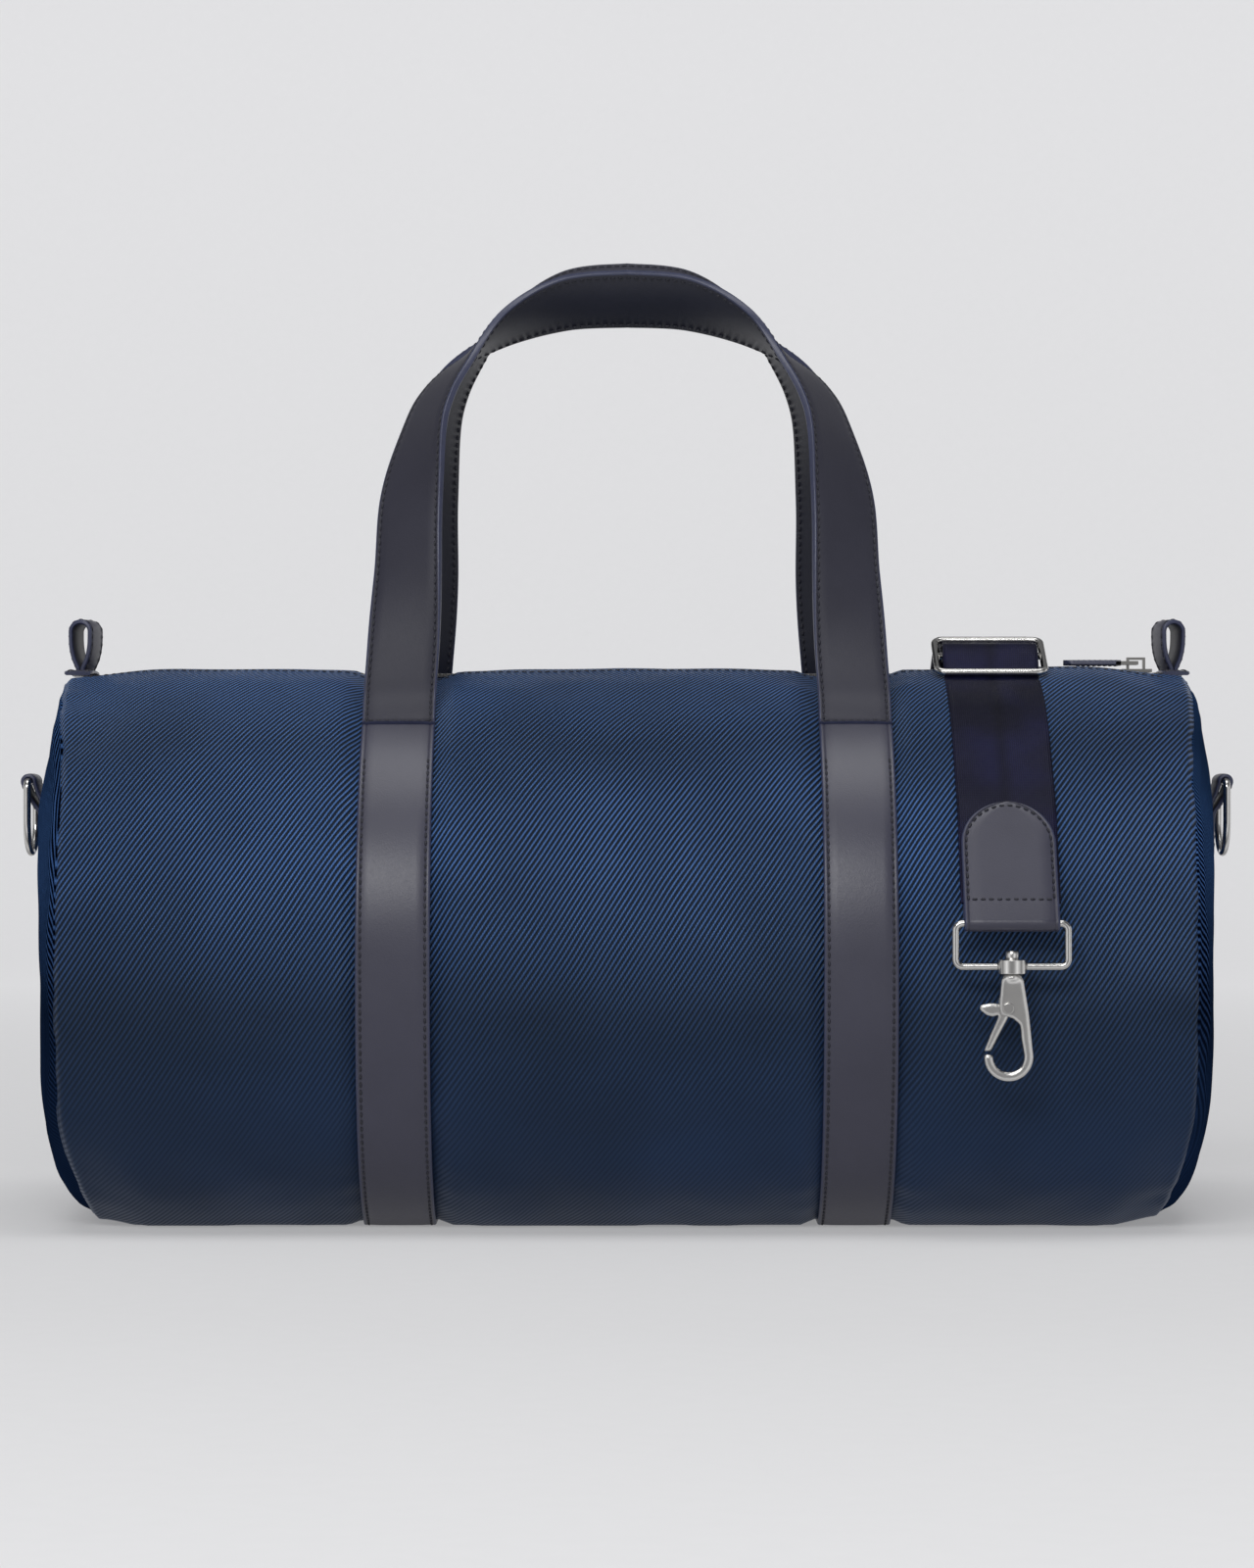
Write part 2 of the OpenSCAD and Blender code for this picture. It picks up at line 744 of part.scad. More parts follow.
module gate_pin() {
    rod_y(rivet[0], rivet[1], hook_th / 2 + 0.2, pin_r);
    for (y = [-hook_th / 2 - 0.5, hook_th / 2 + 0.02])
        translate([rivet[0], y + 0.48, rivet[1]])
            rotate([90, 0, 0])
                cylinder(r = 2.15, h = 0.48);
}

module at_front() {
    color(metal_colour)
        translate([strap_x, front_bar[0], front_bar[1]])
            children();
}
// The rear hook lies flat behind the bag, pointing away from it
module at_rear() {
    color(metal_colour)
        translate([strap_x, rear_bar[0], rear_bar[1]])
            rotate([90, 0, 0])
                children();
}
module front_loop() at_front() swivel_loop();
module front_hook() at_front() swivel_hook();
module front_gate() at_front() swivel_gate();
module front_gate_pin() at_front() gate_pin();
module front_gate_spring() at_front() gate_spring();
module rear_loop() at_rear() swivel_loop();
module rear_hook() at_rear() swivel_hook();
module rear_gate() at_rear() swivel_gate();
module rear_gate_pin() at_rear() gate_pin();
module rear_gate_spring() at_rear() gate_spring();

barrel_panel();
end_panel_left();
end_panel_right();
barrel_lining();
end_lining_left();
end_lining_right();
seam_binding_left();
seam_binding_right();
base_board();
inner_pocket();
belt_left();
belt_right();
zip_tape_front();
zip_tape_back();
zip_teeth_front();
zip_teeth_back();
zip_stops();
zip_end_left();
zip_end_right();
zip_slider_body();
zip_pull_link();
zip_pull_leather();
pull_loop_left();
pull_loop_right();
ring_tab_left();
ring_tab_right();
d_ring_left();
d_ring_right();
handle_front_outer();
handle_front_lining();
handle_back_outer();
handle_back_lining();
strap_webbing();
strap_slider();
strap_tab();
front_loop();
front_hook();
front_gate();
front_gate_pin();
front_gate_spring();
rear_loop();
rear_hook();
rear_gate();
rear_gate_pin();
rear_gate_spring();
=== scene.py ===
"""Looks of the weekender bag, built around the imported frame. Metres, +Z up, front towards -Y."""
import math

import bmesh
import bpy
from mathutils import Matrix, Vector, noise


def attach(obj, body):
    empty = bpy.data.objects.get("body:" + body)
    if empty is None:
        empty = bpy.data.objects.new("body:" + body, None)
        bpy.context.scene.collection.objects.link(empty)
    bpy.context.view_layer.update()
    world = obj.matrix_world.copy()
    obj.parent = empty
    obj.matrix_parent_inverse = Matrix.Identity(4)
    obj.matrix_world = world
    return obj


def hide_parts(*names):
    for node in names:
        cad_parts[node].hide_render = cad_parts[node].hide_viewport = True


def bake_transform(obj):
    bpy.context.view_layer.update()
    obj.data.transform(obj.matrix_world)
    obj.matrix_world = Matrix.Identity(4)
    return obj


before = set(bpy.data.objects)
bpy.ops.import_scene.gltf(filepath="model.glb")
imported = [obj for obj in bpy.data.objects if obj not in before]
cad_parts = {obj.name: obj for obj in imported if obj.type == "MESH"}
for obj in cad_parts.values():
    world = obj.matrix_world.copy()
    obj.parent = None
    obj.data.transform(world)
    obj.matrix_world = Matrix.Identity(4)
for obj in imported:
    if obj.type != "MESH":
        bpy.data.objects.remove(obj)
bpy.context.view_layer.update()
MM = 0.001

# ---- Driving dimensions, as in the part's source ----
HALF_DEPTH, MID_Z, CROWN = 125 * MM, 112 * MM, 120 * MM
HALF_LEN, OVERHANG = 222 * MM, 19 * MM
END_X = HALF_LEN + OVERHANG
CROWN_Z = MID_Z + CROWN
TOP_POWER, LOW_POWER = 2 / 2.05, 2 / 2.5
SHOULDER_X = 190 * MM
SEAM_TUCK, SEAM_ROLL = 3 * MM, 2.4 * MM
MOUTH_HALF = 12 * MM
BELT_W, BELT_X, BELT_TH = 30 * MM, 94 * MM, 2.4 * MM
HANDLE_TH = 3 * MM
HINGE_ANGLE = 54
STRAP_X, WEB_W, WEB_TH = 153 * MM, 40 * MM, 1.6 * MM
WIRE_R = 1.5 * MM
TAU = 2 * math.pi

# ---- Looks ----
RIB_PITCH, RIB_SLANT = 1.84 * MM, 57
STITCH_PITCH, STITCH_LEN, STITCH_R = 3.3 * MM, 2.3 * MM, 0.46 * MM
FLOOR_R, SWEEP_R, SWEEP_TOP = 3.2, 1.2, 1.8
CAMERA_AT, CAMERA_LENS = (0, -1.9, 0.183), 101.8


# ---- Small geometry helpers ----
def deg(a):
    return math.radians(a)


def lerp(a, b, u):
    return a + (b - a) * u


def ramp(v, lo, hi):
    """0 below lo, 1 above hi, smooth between."""
    u = max(0.0, min(1.0, (v - lo) / (hi - lo)))
    return u * u * (3 - 2 * u)


def sec(t, grow=0.0):
    """Point (y, z) of the barrel's section at angle t in degrees, grow outside it."""
    c, s = math.cos(deg(t)), math.sin(deg(t))
    p = LOW_POWER if s < 0 else TOP_POWER
    y = (HALF_DEPTH + grow) * math.copysign(abs(c) ** p, c)
    z = MID_Z + (CROWN + grow) * math.copysign(abs(s) ** p, s)
    return y, max(-grow, z)


def seam_x(z):
    return HALF_LEN + OVERHANG * (max(z, 0.0) / CROWN_Z) ** 1.35


def seam_line(z):
    """Where the end seam shows: tucked in at the floor, nearly upright, flared at the crown."""
    return 218 * MM + 12.5 * MM * ramp(z, -22 * MM, 52 * MM) + 9.5 * MM * ramp(z, 178 * MM, 246 * MM)


def mouth_angle(y):
    return 90 - math.degrees(math.acos((y / HALF_DEPTH) ** (1 / TOP_POWER)))


def smooth_route(points, n):
    """Catmull-Rom curve through points, n steps per span."""
    pts = [Vector(p) for p in points]
    out = []
    for i in range(len(pts) - 1):
        a, b = pts[max(i - 1, 0)], pts[i]
        c, d = pts[i + 1], pts[min(i + 2, len(pts) - 1)]
        for k in range(n):
            u = k / n
            out.append(0.5 * (2 * b + (c - a) * u + (2 * a - 5 * b + 4 * c - d) * u * u
                              + (3 * b - a - 3 * c + d) * u ** 3))
    return out + [pts[-1]]


def tube_faces(base, rings, n):
    """Faces of a capped tube of rings with n points each, its first point numbered base."""
    faces = []
    for r in range(rings - 1):
        for j in range(n):
            a, b = base + r * n + j, base + r * n + (j + 1) % n
            faces.append((a, b, b + n, a + n))
    faces.append(tuple(range(base + n - 1, base - 1, -1)))
    faces.append(tuple(range(base + (rings - 1) * n, base + rings * n)))
    return faces


def wobble(p, size, amount, seed=0.0):
    """Smooth noise of a given size, for the unevenness of sewn cloth."""
    return amount * noise.noise(Vector(p) / size + Vector((seed, 1.7 * seed, -seed)))


def make_mesh(name, verts, faces, body, slot, mats, uvs=None, mat_ids=None, replaces=()):
    """A smooth-shaded piece riding on a body. uvs has one pair per vertex."""
    mesh = bpy.data.meshes.new(name)
    mesh.from_pydata([tuple(v) for v in verts], [], faces)
    mesh.validate()
    if uvs:
        layer = mesh.uv_layers.new(name="cloth")
        for loop in mesh.loops:
            layer.data[loop.index].uv = uvs[loop.vertex_index]
    for m in mats if isinstance(mats, (list, tuple)) else [mats]:
        mesh.materials.append(m)
    for poly in mesh.polygons:
        poly.use_smooth = True
        if mat_ids:
            poly.material_index = mat_ids[poly.index]
    obj = bpy.data.objects.new(name, mesh)
    bpy.context.scene.collection.objects.link(obj)
    if slot == "stage":
        return obj
    if body:
        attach(obj, body)
    if replaces:
        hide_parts(*replaces)
    return obj


def sharp_by_angle(obj, angle):
    """Keeps crisp edges crisp on a smooth-shaded piece."""
    obj.data.set_sharp_from_angle(angle=deg(angle))


def recalc(obj):
    """Turns every face of a closed piece outward."""
    bm = bmesh.new()
    bm.from_mesh(obj.data)
    bmesh.ops.recalc_face_normals(bm, faces=bm.faces)
    bm.to_mesh(obj.data)
    bm.free()


# ---- Materials ----
def grey(level):
    return (level,) * 3


class Nodes:
    """Short calls for building a node material."""

    def __init__(self, name):
        self.mat = bpy.data.materials.new(name)
        self.mat.use_nodes = True
        self.tree = self.mat.node_tree
        self.shader = self.tree.nodes["Principled BSDF"]

    def node(self, kind, **props):
        n = self.tree.nodes.new(kind)
        for key, value in props.items():
            setattr(n, key, value)
        return n

    def link(self, a, b):
        self.tree.links.new(a, b)

    def math(self, op, a, b=None):
        n = self.node("ShaderNodeMath", operation=op)
        for socket, value in zip(n.inputs, (a, b)):
            if value is None:
                continue
            if isinstance(value, (int, float)):
                socket.default_value = value
            else:
                self.link(value, socket)
        return n.outputs[0]

    def add(self, a, b):
        return self.math("ADD", a, b)

    def times(self, a, b):
        return self.math("MULTIPLY", a, b)

    def coords(self, which="Object"):
        return self.node("ShaderNodeTexCoord").outputs[which]

    def split(self, vector):
        n = self.node("ShaderNodeSeparateXYZ")
        self.link(vector, n.inputs[0])
        return n.outputs

    def noise(self, vector, size, detail=3.0, rough=0.5):
        n = self.node("ShaderNodeTexNoise")
        n.inputs["Scale"].default_value = 1 / size
        n.inputs["Detail"].default_value = detail
        n.inputs["Roughness"].default_value = rough
        self.link(vector, n.inputs["Vector"])
        return n.outputs["Fac"]

    def cells(self, vector, size):
        n = self.node("ShaderNodeTexVoronoi", feature="SMOOTH_F1")
        n.inputs["Scale"].default_value = 1 / size
        self.link(vector, n.inputs["Vector"])
        return n.outputs["Distance"]

    def wave(self, phase, pitch):
        """0..1 sine of a length in metres."""
        s = self.math("SINE", self.times(phase, TAU / pitch))
        return self.add(self.times(s, 0.5), 0.5)

    def ramp(self, fac, stops):
        n = self.node("ShaderNodeValToRGB")
        ends = n.color_ramp.elements
        ends[0].position, ends[0].color = stops[0][0], (*stops[0][1], 1)
        ends[1].position, ends[1].color = stops[-1][0], (*stops[-1][1], 1)
        for pos, col in stops[1:-1]:
            e = ends.new(pos)
            e.color = (*col, 1)
        self.link(fac, n.inputs["Fac"])
        return n.outputs["Color"]

    def mix(self, fac, a, b, kind="MIX"):
        n = self.node("ShaderNodeMix", data_type="RGBA", blend_type=kind)
        for socket, value in ((n.inputs["Factor"], fac), (n.inputs["A"], a), (n.inputs["B"], b)):
            if isinstance(value, (int, float)):
                socket.default_value = value
            elif isinstance(value, tuple):
                socket.default_value = (*value, 1)
            else:
                self.link(value, socket)
        return n.outputs["Result"]

    def tinted(self, color, filter_color):
        return self.mix(1.0, color, filter_color, "MULTIPLY")

    def bump(self, height, distance, strength, normal=None):
        n = self.node("ShaderNodeBump")
        n.inputs["Strength"].default_value = strength
        n.inputs["Distance"].default_value = distance
        self.link(height, n.inputs["Height"])
        if normal:
            self.link(normal, n.inputs["Normal"])
        return n.outputs["Normal"]

    def finish(self, color=None, rough=None, normal=None, **sockets):
        s = self.shader.inputs
        for socket, value in ((s["Base Color"], color), (s["Roughness"], rough)):
            if value is None:
                continue
            if isinstance(value, (int, float)):
                socket.default_value = value
            elif isinstance(value, tuple):
                socket.default_value = (*value, 1)
            else:
                self.link(value, socket)
        if normal:
            self.link(normal, s["Normal"])
        for key, value in sockets.items():
            s[key.replace("_", " ")].default_value = value
        return self.mat


def twill_material(name, shine, depth):
    """Navy twill: bold diagonal ribs, each one a row of floats that catch the light, with painted light and
    shade in its colour.
    """
    m = Nodes(name)
    u, v, _ = m.split(m.coords("UV"))
    wander = m.times(m.math("SUBTRACT", m.noise(m.coords(), 0.05, 2), 0.5), 0.0016)
    slant = deg(RIB_SLANT)
    across = m.add(m.times(u, math.sin(slant)), m.times(v, math.cos(slant)))
    along = m.math("SUBTRACT", m.times(u, math.cos(slant)), m.times(v, math.sin(slant)))
    across = m.add(across, wander)
    rib = m.wave(across, RIB_PITCH)
    floats = m.wave(m.add(along, m.times(across, 0.6)), 1.3 * MM)
    uneven = m.noise(m.coords(), 0.0022, 3, 0.7)
    broad = m.noise(m.coords(), 0.075, 2)
    thread = m.add(m.times(rib, 0.78), m.times(floats, 0.12))
    thread = m.add(thread, m.times(uneven, 0.14))
    # The ribs stand out near the crown and fade towards the underside, in bump and in colour; the fading of
    # their colour is painted shade, as less light falls low down
    height = m.split(m.coords())[2]
    relief = m.ramp(height, [(0.045, grey(0.05)), (0.08, grey(0.28)), (0.11, grey(0.68)), (0.17, grey(1.0))])
    thread = m.times(m.math("SUBTRACT", thread, 0.5), m.times(relief, 1.35))
    thread = m.add(thread, 0.5)
    # The ribs' colour: dark gaps and bright tops, the weave's pattern deepened by painted shade in the gaps
    # and painted highlight on the ribs
    color = m.ramp(thread, [
        (0.26, (0.0006, 0.0014, 0.0045)),
        (0.48, (0.0040, 0.0095, 0.0270)),
        (0.70, (0.0180, 0.0430, 0.1150)),
        (1.0, (0.0400, 0.0950, 0.2400)),
    ])
    # Painted light and shade in bands by height, from the floor up: bright, dark, bright, dark below the
    # crown, bright on it; depth scales them all
    painted_light_bands = m.ramp(height, [(z, grey(level * depth)) for z, level in (
        (0.030, 1.20), (0.090, 0.60), (0.150, 1.20), (0.176, 1.12), (0.200, 0.80), (0.228, 1.30))])
    color = m.tinted(color, painted_light_bands)
    shade = m.ramp(broad, [(0.40, grey(0.82)), (0.60, grey(1.14))])
    color = m.tinted(color, shade)
    rough = m.math("SUBTRACT", 0.60, m.times(rib, 0.30))
    normal = m.bump(thread, 0.5 * MM, 0.9)
    return m.finish(color, rough, normal, Specular_IOR_Level=0.34 * shine,
                    Specular_Tint=(0.50, 0.70, 1.0, 1), Sheen_Weight=0.10 * shine,
                    Sheen_Roughness=0.4, Sheen_Tint=(0.35, 0.5, 0.8, 1))


def leather_material(name, base, light, rough=0.40, grain=0.55 * MM, shine=0.5):
    """Smooth leather: fine pores, a few soft creases and a faint mottle."""
    m = Nodes(name)
    co = m.coords()
    mottle = m.noise(co, 0.035, 4, 0.6)
    fine = m.noise(co, 0.0011, 4, 0.65)
    pores = m.cells(co, grain)
    color = m.mix(m.times(mottle, 0.75), base, light)
    dots = m.ramp(pores, [(0.0, grey(0.80)), (0.30, grey(1.0))])
    color = m.mix(0.6, color, dots, "MULTIPLY")
    rough = m.add(rough - 0.08, m.times(fine, 0.16))
    rough = m.add(rough, m.times(mottle, 0.06))
    n1 = m.bump(mottle, 0.5 * MM, 0.25)
    n2 = m.bump(m.add(m.times(pores, 0.7), fine), 0.07 * MM, 0.55, n1)
    return m.finish(color, rough, n2, Specular_IOR_Level=shine, Sheen_Weight=0.04)


def edge_material():
    """Painted cut edge of the leather, a little glossier and bluer than its face."""
    m = Nodes("edge_paint")
    co = m.coords()
    drift = m.noise(co, 0.004, 3)
    color = m.mix(drift, (0.016, 0.020, 0.048), (0.034, 0.040, 0.085))
    return m.finish(color, m.add(0.30, m.times(drift, 0.15)),
                    m.bump(drift, 0.15 * MM, 0.5), Specular_IOR_Level=0.5)


def thread_material():
    """Waxed sewing thread, twisted."""
    m = Nodes("thread")
    x, y, z = m.split(m.coords())
    twist = m.wave(m.add(m.add(x, y), z), 0.5 * MM)
    color = m.mix(twist, (0.004, 0.004, 0.008), (0.016, 0.017, 0.030))
    return m.finish(color, 0.55, m.bump(twist, 0.1 * MM, 0.7))


def webbing_material():
    """Satin nylon webbing: fine lengthwise yarns, a weft rib and a centre line, and painted highlights in
    satin streaks.
    """
    m = Nodes("webbing")
    u, v, _ = m.split(m.coords("UV"))
    yarn = m.wave(v, 0.85 * MM)
    weft = m.wave(m.add(u, m.times(yarn, 0.3 * MM)), 0.9 * MM)
    uneven = m.noise(m.coords(), 0.004, 4, 0.7)
    streak = m.noise(m.coords(), 0.03, 2)
    height = m.add(m.times(yarn, 0.5), m.times(weft, 0.35))
    height = m.add(height, m.times(uneven, 0.25))
    color = m.ramp(height, [
        (0.1, (0.0010, 0.0010, 0.0034)), (0.6, (0.0032, 0.0034, 0.0105)), (1.0, (0.0085, 0.0088, 0.0270)),
    ])
    centre = m.ramp(m.math("ABSOLUTE", v), [(0.0003, grey(0.45)), (0.0008, grey(1.0))])
    color = m.tinted(color, centre)
    # Painted highlight: the colour brightened in streaks, most in blue, as satin catches the light
    painted_satin_sheen = m.ramp(streak, [(0.40, grey(0.8)), (0.62, (1.5, 1.5, 2.0))])
    color = m.tinted(color, painted_satin_sheen)
    rough = m.add(0.30, m.times(streak, 0.2))
    return m.finish(color, rough, m.bump(height, 0.2 * MM, 0.8), Specular_IOR_Level=0.18,
                    Specular_Tint=(0.62, 0.62, 1.0, 1), Anisotropic=0.6)


def weave_material(name, dark, light, pitch):
    """Plain woven cloth for the lining, binding and zip tapes."""
    m = Nodes(name)
    x, y, z = m.split(m.coords())
    warp = m.wave(x, pitch)
    weft = m.wave(m.add(y, z), pitch)
    check = m.add(m.times(warp, 0.5), m.times(weft, 0.5))
    grain = m.noise(m.coords(), 0.003, 3)
    color = m.mix(m.times(m.add(check, grain), 0.5), dark, light)
    return m.finish(color, 0.8, m.bump(check, 0.2 * MM, 0.7), Sheen_Weight=0.1)


def metal_material(name, color, rough, wear=0.1, rounding=0.0):
    """Plated metal: faint polishing marks and handling haze. Its edges are shaded as rounded
    over. Dark and bright bands painted into its colour follow the curve: a painted reflection, as polish
    would mirror a studio."""
    m = Nodes(name)
    co = m.coords()
    haze = m.noise(co, 0.008, 4, 0.6)
    marks = m.noise(co, 0.0006, 3, 0.7)
    tint = m.mix(haze, color, tuple(c * 0.86 for c in color))
    edge = m.node("ShaderNodeBevel")
    edge.samples = 8
    edge.inputs["Radius"].default_value = rounding
    normal = m.bump(haze, 0.2 * MM, 0.20, m.bump(marks, 0.01 * MM, 0.08, edge.outputs["Normal"]))
    facing = m.node("ShaderNodeLayerWeight")
    facing.inputs["Blend"].default_value = 0.45
    m.link(normal, facing.inputs["Normal"])
    # Painted reflection: the colour darkened and brightened in bands by how squarely the surface faces the
    # camera
    depth = m.ramp(facing.outputs["Facing"], [
        (0.0, grey(0.34)), (0.010, grey(0.46)), (0.05, grey(1.25)), (0.18, grey(0.36)), (0.36, grey(1.2)),
        (0.6, grey(0.45)), (0.9, grey(1.1)),
    ])
    tint = m.tinted(tint, depth)
    r = m.add(rough, m.times(haze, wear))
    return m.finish(tint, r, normal, Metallic=1.0)


def board_material():
    """Pressed fibre board."""
    m = Nodes("board")
    grain = m.noise(m.coords(), 0.002, 4)
    color = m.mix(grain, (0.02, 0.02, 0.022), (0.05, 0.05, 0.055))
    return m.finish(color, 0.7, m.bump(grain, 0.2 * MM, 0.6))


TWILL = twill_material("twill", 1.0, 1.0)
# The end panels carry the same painted light bands, a little dimmer, and no shine
TWILL_END = twill_material("twill_end", 0.0, 0.9)
LEATHER = leather_material("leather", (0.017, 0.017, 0.034), (0.036, 0.036, 0.062), 0.37, shine=0.58)
# The leather's back is a darker copy of its face: painted shade for inward faces, such as the handles'
# undersides, that face away from the light
SHADED_LEATHER_BACK = leather_material("shaded_leather_back", (0.007, 0.008, 0.016), (0.016, 0.017, 0.030), 0.46)
# The handles get a darker copy of the leather, painted shade for their upright arches that catch less light;
# it is also rougher and less shiny
SHADED_HANDLE_LEATHER = leather_material("shaded_handle_leather", (0.015, 0.015, 0.025), (0.030, 0.030, 0.046), 0.48,
                                  shine=0.3)
EDGE = edge_material()
THREAD = thread_material()
WEBBING = webbing_material()
LINING = weave_material("lining", (0.020, 0.024, 0.036), (0.052, 0.058, 0.080), 0.7 * MM)
TAPE = weave_material("tape", (0.004, 0.005, 0.010), (0.014, 0.016, 0.030), 0.6 * MM)
NICKEL = metal_material("nickel", (0.72, 0.71, 0.69), 0.14, rounding=0.4 * MM)
NICKEL_CAST = metal_material("nickel_cast", (0.76, 0.75, 0.73), 0.14, rounding=2.2 * MM)
ZIP_METAL = metal_material("zip_metal", (0.52, 0.51, 0.49), 0.26, 0.15)
BOARD = board_material()


# ---- Sweeps along straps ----
class Frame:
    """A place on a strap: centre, direction across it, direction out of its face."""

    def __init__(self, pos, across, out, width=1.0):
        self.pos, self.across, self.out, self.width = pos, across, out, width

    def at(self, w, d):
        return self.pos + self.across * w + self.out * d


def route_frames(points, across, widths=None):
    """Frames of a strap that keeps one direction across it, its face out = across x heading."""
    pts = [Vector(p) for p in points]
    across = Vector(across).normalized()
    frames = []
    for i, p in enumerate(pts):
        t = (pts[min(i + 1, len(pts) - 1)] - pts[max(i - 1, 0)]).normalized()
        frames.append(Frame(p, across, across.cross(t).normalized(), widths[i] if widths else 1.0))
    return frames


def yz_points(route, x):
    return [Vector((x, y, z)) for y, z in route]


FACE, RIM, BACK = 0, 1, 2


def strap_section(width, low, high, inset=2.0 * MM, crown=0.2 * MM, dip=0.28 * MM):
    """Outline (inset from the nearer edge, side, out) of a strap with rounded edges and a
    sewn-in line near each edge, and the kind of face that follows each point."""
    left = [(0.0, -0.45 * MM), (0.25 * MM, -0.1 * MM), (0.8 * MM, 0.06 * MM), (inset - 0.6 * MM, 0.04 * MM),
            (inset, -dip), (inset + 0.6 * MM, 0.02 * MM), (width * 0.2, crown * 0.8)]
    face = [(i, -1, high + d) for i, d in left] + [(width / 2, -1, high + crown)]
    face += [(i, 1, high + d) for i, d in reversed(left)]
    back = [(0.0, 1, low + 0.4 * MM), (0.5 * MM, 1, low), (width / 2, 1, low), (0.5 * MM, -1, low),
            (0.0, -1, low + 0.4 * MM)]
    kinds = [RIM] * 2 + [FACE] * (len(face) - 5) + [RIM] * 4 + [BACK] * 2 + [RIM] * 2
    return face + back, kinds


def flat_section(width, thick):
    """Plain outline of webbing, with soft edges."""
    h = thick / 2
    face = [(0.0, -1, 0.2 * h), (0.5 * MM, -1, 0.85 * h), (2 * MM, -1, h), (width / 2 - 0.9 * MM, -1, h),
            (width / 2, -1, 0.82 * h), (width / 2 - 0.9 * MM, 1, h), (2 * MM, 1, h),
            (0.5 * MM, 1, 0.85 * h), (0.0, 1, 0.2 * h)]
    back = [(i, s, -d) for i, s, d in reversed(face)]
    return face + back, [FACE] * (2 * len(face))


def sweep(name, frames, width, outline, mats, body, slot, replaces=()):
    """A strap: the outline carried along the frames, closed at both ends."""
    section, kinds = outline
    verts, uvs = [], []
    length = 0.0
    for i, f in enumerate(frames):
        if i:
            length += (f.pos - frames[i - 1].pos).length
        half = width * f.width / 2
        for inset, side, out in section:
            w = side * max(half - inset, 0.0)
            verts.append(f.at(w, out))
            uvs.append((length, w))
    ids = [min(kind, len(mats) - 1) for kind in kinds * (len(frames) - 1) + [RIM, RIM]]
    faces = tube_faces(0, len(frames), len(section))
    obj = make_mesh(name, verts, faces, body, slot, mats, uvs, ids, replaces)
    sharp_by_angle(obj, 50)
    return obj


# ---- Stitches ----
class Stitches:
    """Collects the stitches of one piece into one mesh."""

    sides = 6
    rings = ((-0.5, 0.25, -0.35), (-0.36, 0.85, 0.05), (0.0, 1.0, 0.25), (0.36, 0.85, 0.05),
             (0.5, 0.25, -0.35))

    def __init__(self, length=STITCH_LEN, radius=STITCH_R):
        self.verts, self.faces = [], []
        self.length, self.radius = length, radius

    def add(self, pos, along, out):
        along = along.normalized()
        side = along.cross(out).normalized()
        out = side.cross(along).normalized()
        base, n = len(self.verts), self.sides
        for s, fat, lift in self.rings:
            c = pos + along * s * self.length + out * lift * self.radius
            for k in range(n):
                a = TAU * k / n
                self.verts.append(c + (side * math.cos(a) * 1.15 + out * math.sin(a)) * fat * self.radius)
        self.faces += tube_faces(base, len(self.rings), n)

    def line(self, places, pitch=STITCH_PITCH, start=0.5, stop=0.0):
        """Stitches at an even pitch along places, a list of (point, outward) pairs."""
        lengths = [0.0]
        for a, b in zip(places, places[1:]):
            lengths.append(lengths[-1] + (b[0] - a[0]).length)
        want, i = start * pitch, 0
        while want < lengths[-1] - stop:
            while lengths[i + 1] < want:
                i += 1
            u = (want - lengths[i]) / max(lengths[i + 1] - lengths[i], 1e-9)
            a, b = places[i], places[i + 1]
            self.add(a[0].lerp(b[0], u), b[0] - a[0], a[1].lerp(b[1], u))
            want += pitch

    def edges(self, frames, width, out, inset=2.0 * MM):
        """A row along each edge of a strap, on its face at height out."""
        for edge in (-1, 1):
            self.line(seam_places(frames, width, edge, out, inset))

    def build(self, name, body, slot="leather"):
        return make_mesh(name, self.verts, self.faces, body, slot, THREAD)


def seam_places(frames, width, side, out, inset=2.0 * MM):
    """Places of a stitched line near one edge of a strap, on the face at height out."""
    sign = 1 if out > 0 else -1
    return [(f.at(side * (width * f.width / 2 - inset), out), f.out * sign) for f in frames]


# ---- Shell of the bag ----
BELT_IN, BELT_OUT = BELT_X - BELT_W / 2, BELT_X + BELT_W / 2


def cinch(x):
    """How far the fabric is drawn in at x: under the belts, and towards the end seams."""
    a = abs(x)
    under = ramp(a, BELT_IN - 9 * MM, BELT_IN + 0.5 * MM)
    under *= 1 - ramp(a, BELT_OUT - 0.5 * MM, BELT_OUT + 9 * MM)
    end = SEAM_TUCK * ramp(a, SHOULDER_X, END_X - 3 * MM) ** 1.5
    end += SEAM_ROLL * ramp(a, END_X - 4.5 * MM, END_X) ** 2
    return -(BELT_TH + 0.2 * MM) * under - end


def fullness(x):
    """The load inside rounds the fabric out a little between the belts and the ends."""
    a = abs(x)
    outer = max(0.0, min(1.0, (a - BELT_OUT) / (END_X - 3 * MM - BELT_OUT)))
    return 1.3 * MM * math.cos(min(a / BELT_IN, 1) * math.pi / 2) + 0.9 * MM * math.sin(math.pi * outer)


